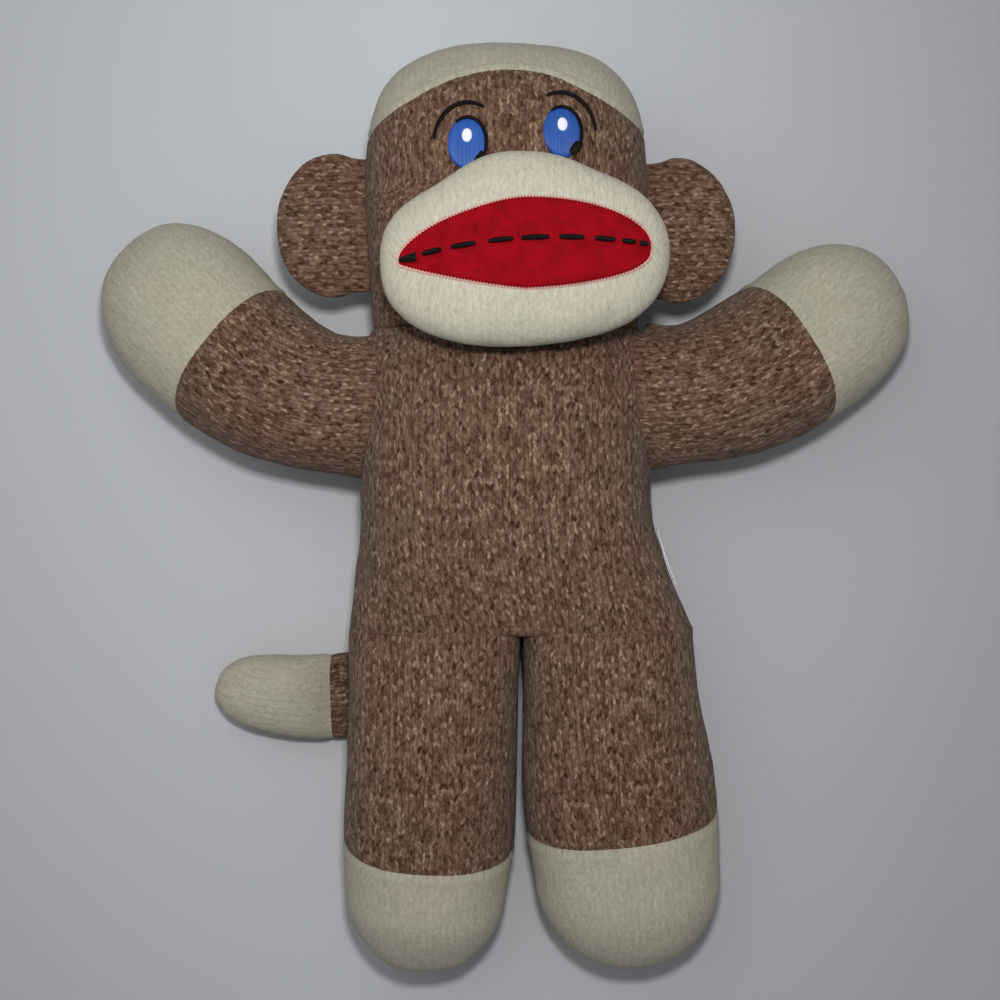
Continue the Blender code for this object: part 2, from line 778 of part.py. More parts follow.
def make_muzzle():
    form = head_form()
    rows = jaw_rows(form, FACE + NAPE, -GAP) + crown_rows(form, FACE + NAPE, -GAP)
    cutter = solid("head_cutter", rows, fibre())
    cutter.hide_render = True
    cutter.display_type = "WIRE"
    angles = turns(MUZZLE_SIDES)
    stations = [0.0, 0.33, 0.66, 1.0, 1.25, 1.5, 1.78]
    outer, inner = [
        [[muzzle_point(s, a, inset) for a in angles] for s in stations]
        + [[muzzle_point(2.0, 0.0, inset)]]
        for inset in (0.0, CLOTH)
    ]
    cover = cut(cloth("muzzle_cover", outer, inner, cream_knit()), cutter)
    inside = CLOTH + 5 * GAP
    around = angles[::COVER_SIDES_PER_FILLING_SIDE]
    rows = [[muzzle_point(s, a, inside) for a in around] for s in stations]
    rows.append([muzzle_point(2.0, 0.0, inside)])
    filling = cut(solid("muzzle_filling", rows, fibre()), cutter)
    return [cover, filling]


def mouth_line(x):
    """Height of the mouth's corners and stitches above its middle."""
    return STITCH_ARCH * math.cos(math.radians(90) * x / MOUTH_HALF_LENGTH)


def mouth_place(x, y, lift):
    return muzzle_place(x, y, muzzle_z(x, y) + lift)


def make_mouth():
    outer, inner = [], []
    for x in steps(-MOUTH_HALF_LENGTH, MOUTH_HALF_LENGTH, 14):
        share = falling(x / MOUTH_HALF_LENGTH, MOUTH_POWER)
        top = MOUTH_CORNER + (MOUTH_UPPER - MOUTH_CORNER) * share
        bottom = -MOUTH_CORNER - (MOUTH_LOWER - MOUTH_CORNER) * share
        ups = steps(bottom, top, 4)
        outer.append([mouth_place(x, y, GAP + FELT) for y in ups])
        inner.append([mouth_place(x, y, GAP) for y in ups])
    made = [cloth("mouth", outer, inner, red_felt(), round_about=False)]
    for i, (middle_share, length_share) in enumerate(STITCH_SHARES):
        ends = (middle_share - length_share / 2, middle_share + length_share / 2)
        path = [
            (x, mouth_line(x))
            for x in steps(ends[0] * MOUTH_HALF_LENGTH, ends[1] * MOUTH_HALF_LENGTH, 3)
        ]
        low = 2 * GAP + FELT
        name = f"mouth_stitch_{i + 1}"
        made.append(band(name, path, STITCH_WIDTH, STITCH_HEIGHT, low, mouth_place, black_thread()))
    return made


def band(name, path, width, height, low, place, looks):
    """A flat thread that follows a path over a surface."""
    rows = []
    for i, (x, y) in enumerate(path):
        before, after = path[max(i - 1, 0)], path[min(i + 1, len(path) - 1)]
        run = Vector((after[0] - before[0], after[1] - before[1])).normalized()
        side = Vector((-run.y, run.x)) * (width / 2)
        rows.append([
            place(x + side.x, y + side.y, low),
            place(x - side.x, y - side.y, low),
            place(x - side.x * 0.8, y - side.y * 0.8, low + height),
            place(x + side.x * 0.8, y + side.y * 0.8, low + height),
        ])
    return solid(name, rows, looks)


def make_eye(side, name, x, y, head):
    """An embroidered eye: the iris, its dark rim, the glint and the brow."""

    def place(px, py, lift):
        return Vector((px, py, head.front_z(px, py) + lift))

    def disc(label, cy, half_width, half_height, low, looks):
        rows = [[place(x, cy, low)]]
        for lift, scale in ((low, 1.0), (low + EMBROIDERY, 1.0), (low + EMBROIDERY, 0.5)):
            rows.append([
                place(x + scale * half_width * math.cos(a), cy + scale * half_height * math.sin(a), lift)
                for a in turns(18)
            ])
        rows.append([place(x, cy, low + EMBROIDERY)])
        return solid(label, rows, looks)

    def arc(half_width, half_height, start, sweep, count):
        return [
            (x + half_width * math.cos(a), y + half_height * math.sin(a))
            for a in steps(start, start + sweep, count)
        ]

    low = GAP
    out = GAP + RIM_WIDTH / 2
    rim = arc(EYE_HALF_WIDTH + out, EYE_HALF_HEIGHT + out, RIM_START, RIM_SWEEP, 12)
    if side < 0:
        brow = arc(BROW_HALF_WIDTH, BROW_HALF_HEIGHT, RIGHT_BROW_START, RIGHT_BROW_SWEEP, 10)
    else:
        brow = arc(BROW_HALF_WIDTH, BROW_HALF_HEIGHT, LEFT_BROW_START, LEFT_BROW_SWEEP, 10)
    above = low + EMBROIDERY + GAP
    return [
        disc(name + "_eye", y, EYE_HALF_WIDTH, EYE_HALF_HEIGHT, low, blue_thread()),
        disc(name + "_glint", y + GLINT_RISE, GLINT_HALF_WIDTH, GLINT_HALF_HEIGHT, above, white_thread()),
        band(name + "_eye_rim", rim, RIM_WIDTH, EMBROIDERY, low, place, black_thread()),
        band(name + "_brow", brow, BROW_WIDTH, EMBROIDERY, low, place, black_thread()),
    ]


def make_limb(name, form, cuff, end_name, colours):
    """A limb and the thread of the seam at its root."""
    names = (name + "_cover", end_name, name + "_filling")
    made = padded_limb(names, form, cuff, colours)
    centre, across, along, half_width, half_depth = form.ring(0.0, 0.0)
    outward = form.heading(0.0)
    middle = centre - outward * (SEAM / 2)
    ring = thread_ring(name + "_thread", middle, across, along, half_width, half_depth)
    return made, ring


def make_ear(name, side):
    form = ear_form(side)
    angles = turns(LIMB_SIDES)
    stations = [0.0, 0.5, 1.0, 1.35, 1.65, 1.88]
    outer, inner = [
        form.face(0.0, angles, inset) + form.grid(stations, angles, inset) + form.tip(inset)
        for inset in (0.0, CLOTH)
    ]
    cover = cloth(name + "_cover", outer, inner, brown_knit())
    inside = CLOTH + GAP
    rows = form.grid(stations, angles[::COVER_SIDES_PER_FILLING_SIDE], inside) + form.tip(inside)
    filling = solid(name + "_filling", rows, fibre())
    centre, across, along, half_width, half_depth = form.ring(0.0, 0.0)
    middle = centre - X_AXIS * (side * SEAM / 2)
    ring = thread_ring(name + "_thread", middle, across, along, half_width, half_depth)
    front = Vector((side * EAR_SEAT_HALF_WIDTH, centre.y, HEAD_Z + half_depth))
    pivot(name + "_pivot", front, [cover, filling])
    return [ring]


def make_doll():
    clear_scene()
    make_torso()
    head = head_form()
    neck_half_width, neck_half_depth = torso_form().ring(1.0, 0.0)[3:]
    neck_middle = Vector((0, NECK_Y + SEAM / 2, TORSO_Z))
    neck = thread_ring("neck_thread", neck_middle, X_AXIS, Z_AXIS, neck_half_width, neck_half_depth)
    pivot("neck_turn_pivot", Vector((0, NECK_Y, TORSO_Z)), [neck])
    on_head = make_head() + make_muzzle() + make_mouth()
    right_eye_y = HEAD_Y + HEAD_HEIGHT * RIGHT_EYE_RISE_SHARE
    left_eye_y = HEAD_Y + HEAD_HEIGHT * LEFT_EYE_RISE_SHARE
    on_head += make_eye(-1, "right", RIGHT_EYE_SHIFT, right_eye_y, head)
    on_head += make_eye(1, "left", LEFT_EYE_SHIFT, left_eye_y, head)
    on_head += make_ear("right_ear", -1) + make_ear("left_ear", 1)
    back = Vector((0, NECK_Y, TORSO_Z - neck_half_depth))
    pivot("neck_nod_pivot", back, on_head)
    for name, side, cuff in (("right", -1, RIGHT_CUFF_SHARE), ("left", 1, LEFT_CUFF_SHARE)):
        form = arm_form(side)
        colours = (brown_knit(), cream_knit())
        cuff_station = cuff / ARM_DOME_SHARE
        arm, ring = make_limb(name + "_arm", form, cuff_station, name + "_hand", colours)
        centre, _, _, half_width, half_depth = form.ring(0.0, 0.0)
        seam_x = side * SHOULDER_HALF_WIDTH
        pivot(name + "_shoulder_lower_pivot", Vector((seam_x, centre.y - half_width, centre.z)), [ring])
        pivot(name + "_shoulder_swing_pivot", Vector((seam_x, centre.y, centre.z + half_depth)), arm)
    for name, side, cuff in (("right", -1, RIGHT_ANKLE_SHARE), ("left", 1, LEFT_ANKLE_SHARE)):
        form = leg_form(side)
        colours = (brown_knit(), cream_knit())
        cuff_station = cuff / LEG_DOME_SHARE
        leg, ring = make_limb(name + "_leg", form, cuff_station, name + "_foot", colours)
        centre, _, _, half_width, half_depth = form.ring(0.0, 0.0)
        pivot(name + "_hip_pivot", Vector((centre.x, SEAT_Y, centre.z + half_depth)), leg)
    form = tail_form()
    cuff_station = TAIL_CUFF_SHARE / TAIL_DOME_SHARE
    tail, ring = make_limb("tail", form, cuff_station, "tail_end", (brown_knit(), cream_knit()))
    centre = form.ring(0.0, 0.0)[0]
    pivot("tail_pivot", Vector((centre.x, centre.y, 0)), tail)


make_doll()
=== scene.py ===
import math

import bmesh
import bpy
import numpy as np
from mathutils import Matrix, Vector, noise
from mathutils.bvhtree import BVHTree
from mathutils.kdtree import KDTree


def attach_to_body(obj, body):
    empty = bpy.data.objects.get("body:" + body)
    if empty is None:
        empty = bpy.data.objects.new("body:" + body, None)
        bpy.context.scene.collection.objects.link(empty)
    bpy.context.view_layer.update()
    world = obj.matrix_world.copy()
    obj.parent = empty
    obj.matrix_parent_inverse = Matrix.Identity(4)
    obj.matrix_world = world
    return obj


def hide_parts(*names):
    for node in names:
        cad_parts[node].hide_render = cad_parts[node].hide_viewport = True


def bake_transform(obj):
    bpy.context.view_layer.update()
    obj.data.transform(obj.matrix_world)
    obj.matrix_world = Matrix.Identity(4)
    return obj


# The looks of a knitted, stuffed sock monkey doll that lies on its back.
# Metres, +Z up, head towards +Y, the doll's right side at -X, the table at Z = 0.

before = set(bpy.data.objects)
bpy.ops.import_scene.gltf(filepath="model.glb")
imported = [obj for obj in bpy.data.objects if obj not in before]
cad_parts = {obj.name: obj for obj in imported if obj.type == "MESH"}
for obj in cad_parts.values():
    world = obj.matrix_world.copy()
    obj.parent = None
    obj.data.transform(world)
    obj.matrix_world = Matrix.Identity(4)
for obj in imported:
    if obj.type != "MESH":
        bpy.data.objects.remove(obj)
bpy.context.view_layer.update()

# The table paper's colour, with painted light round a middle and painted shade away from it: how far
# that is, where the painted light's middle is, how much faster the painted shade comes towards +X, and
# how much slower along Y
PAPER_PAINTED_LIGHT = (190, 193, 197)
PAPER_PAINTED_SHADE = (160, 161, 164)
PAPER_REACH = 0.30
PAPER_MIDDLE = (-0.035, 0.16)
PAPER_PULL = 0.35
PAPER_STRETCH = 0.45
TABLE_HALF_WIDTH = 3.0

# Camera and light: name, place, size, power and colour of each lamp
CAMERA_PLACE = (-0.00215, -0.0079, 0.640)
CAMERA_LENS = 60
LAMPS = (
    ("overhead", (-0.20, 0.24, 0.56), 0.50, 0.92, (1.0, 0.99, 0.97)),
    ("front", (0.0066, 0.07, 0.60), 0.04, 2.00, (1.0, 0.995, 0.98)),
)
ROOM_COLOUR = (0.95, 0.97, 1.0, 1.0)
ROOM_STRENGTH = 0.32

# Cloth and seams, as in the part
SEAM = 0.0018
PRESSED = 0.0006
THREAD = 0.0012
SECTION_POWER = 2.3
BEND_SHARE = 0.36

# Torso
TORSO_LENGTH = 0.1060
TORSO_SIZES = (0.0540, 0.0435)
SHOULDER_HALF_WIDTH = 0.0512
SEAT_SHIFT = 0.0054
SEAT_LEAN = math.radians(-12)
HIP_FLARE_SHARE = 0.5
TORSO_SHARES = (
    (0.00, 1.130, 0.735),
    (0.09, 1.080, 0.822),
    (0.19, 1.030, 0.915),
    (0.35, 0.965, 0.998),
    (0.50, 0.960, 1.000),
    (0.70, 0.965, 1.000),
    (0.88, 0.958, 0.870),
    (0.95, 0.940, 0.725),
    (1.00, 0.885, 0.555),
)

# Head
HEAD_HEIGHT = 0.0985
HEAD_SIZES = (0.0520, 0.0455)
EAR_SEAT_HALF_WIDTH = 0.0492
HEAD_WIDEST_SHARE = 0.45
CROWN_WIDTH_POWER = 2.8
CROWN_DEPTH_POWER = 2.3
JAW_SHARES = (
    (0.00, 0.924, 0.554),
    (0.08, 0.945, 0.730),
    (0.20, 0.970, 0.890),
    (0.34, 0.995, 0.980),
    (0.45, 1.000, 1.000),
)
CAP_SIDE_SHARE = 0.38
CAP_LEAN_SHARE = 0.33
CAP_LEAN_POWER = 3.0

# Muzzle
MUZZLE_HALF_WIDTH = 0.0480
MUZZLE_HALF_HEIGHT = 0.0292
MUZZLE_DEPTH = 0.0425
MUZZLE_BASE_Z = 0.0700
MUZZLE_RISE_SHARE = 0.1665
MUZZLE_SHIFT = 0.0058
MUZZLE_TILT = math.radians(3.5)
MUZZLE_POWER = 2.35
MUZZLE_BULGE_SHARE = 0.60
MUZZLE_TUCK_SHARE = 0.88
CHIN_TUCK_SHARE = 0.56
NOSE_TUCK_SHARE = 0.72
NOSE_RISE_SHARE = 0.21
NOSE_SPREAD = math.radians(20)

# Mouth
MOUTH_HALF_LENGTH = 0.0405
MOUTH_UPPER = 0.0172
MOUTH_LOWER = 0.0118
MOUTH_CORNER = 0.0009
# How full the lips are towards the doll's right corner and towards its left
UPPER_LIP_POWERS = (1.55, 1.80)
LOWER_LIP_POWERS = (1.22, 2.30)
# Felt and its edging: name, how far it grows, its height over the muzzle and its thickness
MOUTH_LAYERS = (("mouth_edging", 0.0006, 0.0007, 0.0009), ("mouth_felt", 0.0, 0.0013, 0.0012))
MOUTH_COLUMNS = 160
# How deep the edge's stitches nick it, and how its last share rounds off
NICK = 0.00022
ROUND_OFF = 0.0006
ROUND_SHARE = 0.08
STITCH_WIDTH = 0.0017
STITCH_SHARES = (
    (-0.935, 0.110),
    (-0.730, 0.155),
    (-0.480, 0.195),
    (-0.185, 0.195),
    (0.085, 0.220),
    (0.370, 0.195),
    (0.630, 0.160),
    (0.820, 0.110),
    (0.940, 0.070),
)
STITCH_ARCH = 0.0038
CORNER_SHARE = 0.15
CORNER_HALF_HEIGHT = 0.0014
DASH_RISE = 0.0014

# Eyes: name, shift, rise share, start and sweep of the brow
EYES = (
    ("right", -0.0131, 0.5645, math.radians(172), math.radians(-112)),
    ("left", 0.0186, 0.6050, math.radians(118), math.radians(-112)),
)
EYE_HALF_WIDTH = 0.0065
EYE_HALF_HEIGHT = 0.0088
RIM_START = math.radians(125)
RIM_SWEEP = math.radians(-155)
GLINT_HALF_WIDTH = 0.0017
GLINT_HALF_HEIGHT = 0.0024
GLINT_RISE = 0.0024
BROW_HALF_WIDTH = 0.0112
BROW_HALF_HEIGHT = 0.0142
RIM_THREAD_WIDTH = 0.0013
BROW_THREAD_WIDTH = 0.0016
BLOT_WIDTH = 0.0030
BLOT_SHARE = 0.92
BLOT_START = math.radians(-24)
BLOT_SWEEP = math.radians(-40)
# How far embroidery goes into the cloth under it
ROOTED = 0.0004

# Ears
EAR_SIZES = (0.0260, 0.0068)
EAR_REACH = 0.0308
EAR_RISE_SHARES = {-1: 0.3574, 1: 0.3401}
EAR_SHARES = ((0.0, 0.88, 0.72), (0.25, 0.99, 0.95), (0.45, 1.0, 1.0), (0.60, 0.97, 0.96))
EAR_DOME_SHARE = 0.30

# Arms: half width, rise, reach and rise of the hand, lean of the hand, cuff share
ARM_HALF_DEPTH = 0.0282
SHOULDER_Z = 0.0430
ARM_DOME_SHARE = 0.68
ARMS = {
    -1: (0.0306, 0.0792, 0.0870, 0.0592, math.radians(44), 0.475),
    1: (0.0290, 0.0822, 0.0895, 0.0462, math.radians(36), 0.50),
}
ARM_SHARES = {
    -1: (
        (0.00, 0.800, 0.790),
        (0.12, 0.820, 0.830),
        (0.30, 0.900, 0.930),
        (0.50, 0.965, 1.000),
        (0.70, 1.000, 1.000),
        (1.00, 0.980, 0.960),
    ),
    1: (
        (0.00, 0.845, 0.790),
        (0.12, 0.860, 0.830),
        (0.30, 0.940, 0.930),
        (0.50, 0.990, 1.000),
        (0.70, 1.000, 1.000),
        (1.00, 0.980, 0.960),
    ),
}

# Legs: half width, length, shift of the foot, straight share, ankle share
LEG_GAP = 0.0034
LEG_STEP = -0.00015
LEG_HALF_DEPTH = 0.0302
LEG_DOME_SHARE = 0.72
LEGS = {
    -1: (0.0311, 0.1262, -0.0036, 0.60, 0.515),
    1: (0.0352, 0.1244, 0.0094, 0.40, 0.53),
}
LEG_SHARES = {
    -1: (
        (0.00, 0.955, 0.940),
        (0.15, 0.975, 0.960),
        (0.45, 1.000, 1.000),
        (0.70, 0.950, 0.990),
        (1.00, 0.920, 0.960),
    ),
    1: (
        (0.00, 0.845, 0.940),
        (0.15, 0.890, 0.960),
        (0.45, 0.990, 1.000),
        (0.70, 0.965, 0.990),
        (1.00, 0.900, 0.960),
    ),
}

# Tail
TAIL_SIZES = (0.0155, 0.0140)
TAIL_ROOT_SHIFT = -0.0030
TAIL_ROOT_RISE = 0.0100
TAIL_TIP_SHIFT = -0.1085
TAIL_TIP_DROP = 0.0228
TAIL_TIP_LEAN = math.radians(20)
TAIL_SHARES = (
    (0.00, 0.900, 0.295),
    (0.12, 0.950, 0.290),
    (0.30, 1.000, 0.315),
    (0.48, 1.030, 0.340),
    (0.64, 1.040, 0.460),
    (0.76, 1.000, 0.860),
    (1.00, 0.860, 0.920),
)
TAIL_DOME_SHARE = 0.80
TAIL_CUFF_SHARE = 0.67

# Care label: where it is up the torso, one ply of its ribbon, and the room beside the cover
LABEL_LENGTH = 0.0210
LABEL_HEIGHT = 0.0120
LABEL_THICKNESS = 0.0010
LABEL_SHARE = 0.225
LABEL_PLY = 0.00025
LABEL_CURL = 0.0012
GAP = 0.0003

# Knitting: the pitch of a stitch across and along, and how far the cloth swells
WALE = 0.0026
COURSE = 0.0021
SLACK = 0.0011
SWELL_CAP = 0.0024
SWELL_FRAMES = 20
LIP = 0.0007
TUCKED = 0.0008
SEAM_REACH = 0.010
SIDE_HOLD = 0.6
CAP_HOLD = 0.4
# Uneven filling, and the turned edge of the cream cloth
LUMP_HEIGHT = 0.00055
LUMP_SPREAD = 0.016
RIDGE_HEIGHT = 0.0005
RIDGE_REACH = 0.0016
# The cloth that turns in under the seat: how far down, and what share towards the middle
SKIRT = 0.0022
SKIRT_IN = 0.035
# The head's sides are drawn in to this half width
HEAD_SOFTNESS = 12
HEAD_SIDE_WIDTH = 0.0537
# The strip of cloth inside a shoulder, and how far a root spreads on the bigger piece
GUSSET_COURSES = 14.0
GUSSET_INSET = 0.0006
GUSSET_TUCK = 0.0008
SHOULDER_TOP_Y = 0.0500
SHOULDER_FLARE = 0.0022
EAR_FLARE = 0.0008
# The plied thread in a seam
PLIES = 2
PLY_PITCH = 0.0022
PLY_SIDES = 6
SATIN_PITCH = 0.00045

# Columns of points round the body, and each limb's cover: the reach of its root, the rows
# of its root, tube and dome, and its columns
BODY_COLUMNS = 112
EAR_MESH = (0.005, 4, 3, 13, 72)
ARM_MESH = (0.012, 6, 17, 20, 72)
LEG_MESH = (0.030, 11, 18, 20, 76)
TAIL_MESH = (0.004, 3, 28, 18, 44)
DOME_END = 1.96

# How far past a seam each limb's cloth reaches
EAR_BEND = 0.010
ARM_BEND = 0.018
LEG_BEND = 0.026
TAIL_BEND = 0.012

NECK_Y = TORSO_LENGTH / 2
SEAT_Y = -TORSO_LENGTH / 2
TORSO_Z = TORSO_SIZES[1] - PRESSED
HEAD_Y = NECK_Y + SEAM
HEAD_Z = HEAD_SIZES[1] - PRESSED
HEAD_WIDEST_Y = HEAD_Y + HEAD_HEIGHT * HEAD_WIDEST_SHARE
HEAD_TOP_Y = HEAD_Y + HEAD_HEIGHT
MUZZLE_Y = HEAD_Y + HEAD_HEIGHT * MUZZLE_RISE_SHARE
X_AXIS = Vector((1, 0, 0))
Y_AXIS = Vector((0, 1, 0))
Z_AXIS = Vector((0, 0, 1))
SIDE_NAMES = {-1: "right", 1: "left"}


def between(shares, place, column):
    """A smooth value from a table whose first column is the place."""
    last = len(shares) - 1
    index = 0
    while index < last - 1 and place > shares[index + 1][0]:
        index += 1
    low, high = shares[index], shares[index + 1]
    before = shares[max(index - 1, 0)]
    after = shares[min(index + 2, last)]
    span = high[0] - low[0]
    step = min(1.0, max(0.0, (place - low[0]) / span))
    slope_in = (high[column] - before[column]) / (high[0] - before[0]) * span
    slope_out = (after[column] - low[column]) / (after[0] - low[0]) * span
    square, cube = step * step, step * step * step
    return (
        low[column] * (2 * cube - 3 * square + 1)
        + slope_in * (cube - 2 * square + step)
        + high[column] * (3 * square - 2 * cube)
        + slope_out * (cube - square)
    )


def oval(angle, half_width, half_height, power=SECTION_POWER):
    """A point of a superellipse, a little squarer than an ellipse."""
    across, up = math.cos(angle), math.sin(angle)
    return (
        math.copysign(abs(across) ** (2 / power), across) * half_width,
        math.copysign(abs(up) ** (2 / power), up) * half_height,
    )


def slack(angle):
    """How much smaller the cover starts: nothing at its side seams."""
    return SLACK * abs(math.sin(angle))


def falling(share, power):
    """The height of a superellipse over a share of its half width."""
    return max(0.0, 1 - min(1.0, abs(share)) ** power) ** (1 / power)


def steps(first, last, count):
    return [first + (last - first) * i / count for i in range(count + 1)]


def around(count):
    """Angles of a closed ring, from one side seam over the front to the other."""
    return [2 * math.pi * i / count for i in range(count)]


class Form:
    """A stuffed form: oval rings along a curved spine, with the part's own sizes.

    Stations go from 0 at the root to 1 where the dome starts, and to 2 at the tip.
    """

    def __init__(self, start, start_axis, end, end_axis, sizes, shares, dome_share=1.0):
        reach = (end - start).length * BEND_SHARE
        self.control = [start, start + start_axis * reach, end - end_axis * reach, end]
        self.length = (end - start).length
        self.half_width, self.half_depth = sizes
        self.shares = shares
        self.dome_share = dome_share
        self.upright = False
        self.resting = False
        self.side_limit = None
        self.softened = False

    def spine(self, place):
        a, b, c, d = self.control
        rest = 1 - place
        return a * rest**3 + b * (3 * place * rest**2) + c * (3 * place**2 * rest) + d * place**3

    def heading(self, place):
        a, b, c, d = self.control
        rest = 1 - place
        return ((b - a) * rest**2 + (c - b) * (2 * place * rest) + (d - c) * place**2).normalized()

    def axes(self, place):
        if self.upright:
            return X_AXIS, Z_AXIS
        sideways = self.heading(place).cross(Z_AXIS).normalized()
        return sideways, sideways.cross(self.heading(place))

    def ring(self, station):
        """Centre, sideways axis, upward axis, half width and half depth."""
        place, shrink = station * self.dome_share, 1.0
        if station > 1:
            rise = math.radians(90) * (station - 1)
            place = self.dome_share + (1 - self.dome_share) * math.sin(rise)
            shrink = max(0.0, math.cos(rise)) ** 0.9
        widths = min(place, self.dome_share)
        half_width = between(self.shares, widths, 1) * self.half_width * shrink
        half_depth = between(self.shares, widths, 2) * self.half_depth * shrink
        centre = self.spine(place)
        if self.resting:
            centre.z = between(self.shares, widths, 2) * self.half_depth - PRESSED
        return centre, *self.axes(place), half_width, half_depth

    def point(self, station, angle, inset=0.0, clamped=True):
        centre, sideways, upward, half_width, half_depth = self.ring(station)
        across, up = oval(angle, max(0.0, half_width - inset), max(0.0, half_depth - inset))
        place = centre + sideways * across + upward * up
        if clamped:
            place.z = max(place.z, inset)
        if self.side_limit:
            limit = self.side_limit(place.y) - inset
            place.x = max(-limit, min(limit, place.x))
        if self.softened:
            share = abs(place.x) / HEAD_SIDE_WIDTH
            place.x /= (1 + share**HEAD_SOFTNESS) ** (1 / HEAD_SOFTNESS)
        return place

    def settle(self):
        """Lower the far end until the form is pressed a little into the table."""
        for _ in range(4):
            under = [self.point(s, math.radians(-90), clamped=False) for s in steps(0.0, 1.9, 38)]
            low = min(place.z for place in under)
            self.control[3].z -= low + PRESSED
            self.control[2].z = self.control[3].z
        return self

    def rooted(self, targets, reach, count, angles):
        """Rows from places on the bigger piece, which ease into the form's own sections."""
        base = [self.point(0.0, a, slack(a)) for a in angles]
        rows = []
        for share in [0.0, LIP / reach] + steps(0.0, 1.0, count)[1:-1]:
            station = share * reach / self.length / self.dome_share
            ease = (1 - share) ** 2
            ring = [self.point(station, a, slack(a)) for a in angles]
            rows.append([tuple(p + (t - b) * ease) for p, t, b in zip(ring, targets, base)])
        return rows


class HeadForm(Form):
    """The head: its crown is rounder in side view than in front view."""

    def ring(self, station):
        if station <= 1:
            y = self.control[0].y + (HEAD_WIDEST_Y - self.control[0].y) * station
            wide, deep = self.jaw(y, 1), self.jaw(y, 2)
        else:
            rise = math.radians(90) * (station - 1)
            up = math.sin(rise) ** (2 / CROWN_WIDTH_POWER)
            y = HEAD_WIDEST_Y + (HEAD_TOP_Y - HEAD_WIDEST_Y) * up
            wide = max(0.0, math.cos(rise)) ** (2 / CROWN_WIDTH_POWER)
            deep = falling(up, CROWN_DEPTH_POWER)
        return Vector((0, y, HEAD_Z)), X_AXIS, Z_AXIS, HEAD_SIZES[0] * wide, HEAD_SIZES[1] * deep

    def jaw(self, y, column):
        return between(JAW_SHARES, (y - HEAD_Y) / HEAD_HEIGHT, column)


def cap_station(angle):
    """The station where the cap's edge crosses this side of the head."""
    front = math.sin(angle)
    up = CAP_SIDE_SHARE + CAP_LEAN_SHARE * math.copysign(abs(front) ** CAP_LEAN_POWER, front)
    return 1 + math.degrees(math.asin(up ** (CROWN_WIDTH_POWER / 2))) / 90


def torso_form():
    lean = Vector((math.sin(SEAT_LEAN), math.cos(SEAT_LEAN), 0))
    start, end = Vector((SEAT_SHIFT, SEAT_Y, TORSO_Z)), Vector((0, NECK_Y, TORSO_Z))
    form = Form(start, lean, end, Y_AXIS, TORSO_SIZES, TORSO_SHARES)
    form.upright = True
    form.side_limit = lambda y: SHOULDER_HALF_WIDTH + max(0.0, -y) * HIP_FLARE_SHARE
    return form


def head_form():
    start, end = Vector((0, HEAD_Y, HEAD_Z)), Vector((0, HEAD_TOP_Y, HEAD_Z))
    form = HeadForm(start, Y_AXIS, end, Y_AXIS, HEAD_SIZES, JAW_SHARES)
    form.softened = True
    return form


def arm_form(side):
    half_width, rise, reach, hand_rise, lean, _ = ARMS[side]
    start = Vector((side * (SHOULDER_HALF_WIDTH + SEAM), SEAT_Y + rise, SHOULDER_Z))
    end = start + Vector((side * reach, hand_rise, ARM_HALF_DEPTH - SHOULDER_Z))
    end_axis = Vector((side * math.cos(lean), math.sin(lean), 0))
    sizes = (half_width, ARM_HALF_DEPTH)
    return Form(start, X_AXIS * side, end, end_axis, sizes, ARM_SHARES[side], ARM_DOME_SHARE).settle()


def leg_form(side):
    half_width, length, shift, straight, _ = LEGS[side]
    shares = LEG_SHARES[side]
    aside = LEG_GAP / 2 + half_width * shares[0][1]
    start = Vector((SEAT_SHIFT + side * aside, SEAT_Y - SEAM, TORSO_Z))
    end = start + Vector((shift, -length, LEG_HALF_DEPTH - TORSO_Z))
    sizes = (half_width, LEG_HALF_DEPTH)
    form = Form(start, -Y_AXIS, end, -Y_AXIS, sizes, shares, LEG_DOME_SHARE)
    form.control[1] = start - Y_AXIS * length * straight
    return form.settle()


def tail_form():
    start = Vector((TAIL_ROOT_SHIFT, SEAT_Y + TAIL_ROOT_RISE, 0))
    end = Vector((TAIL_TIP_SHIFT, SEAT_Y - TAIL_TIP_DROP, 0))
    end_axis = Vector((-math.cos(TAIL_TIP_LEAN), math.sin(TAIL_TIP_LEAN), 0))
    form = Form(start, -Y_AXIS, end, end_axis, TAIL_SIZES, TAIL_SHARES, TAIL_DOME_SHARE)
    form.resting = True
    return form


def ear_form(side):
    y = HEAD_Y + HEAD_HEIGHT * EAR_RISE_SHARES[side]
    start = Vector((side * (EAR_SEAT_HALF_WIDTH + SEAM), y, HEAD_Z))
    end = start + X_AXIS * side * EAR_REACH
    return Form(start, X_AXIS * side, end, X_AXIS * side, EAR_SIZES, EAR_SHARES, EAR_DOME_SHARE)


# Materials


def srgb(red, green, blue):
    """A linear colour from one written as it looks on a screen, 0 to 255."""
    return tuple(
        ((c / 255 + 0.055) / 1.055) ** 2.4 if c > 10 else c / 255 / 12.92
        for c in (red, green, blue)
    ) + (1.0,)


class Signal:
    """What a node gives out. Sums and products of it add nodes of their own."""

    def __init__(self, graph, socket):
        self.graph = graph
        self.socket = socket

    def __add__(self, other):
        return self.graph.math("ADD", self, other)

    def __sub__(self, other):
        return self.graph.math("SUBTRACT", self, other)

    def __mul__(self, other):
        return self.graph.math("MULTIPLY", self, other)

    def __truediv__(self, other):
        return self.graph.math("DIVIDE", self, other)

    def __pow__(self, other):
        return self.graph.math("POWER", self, other)


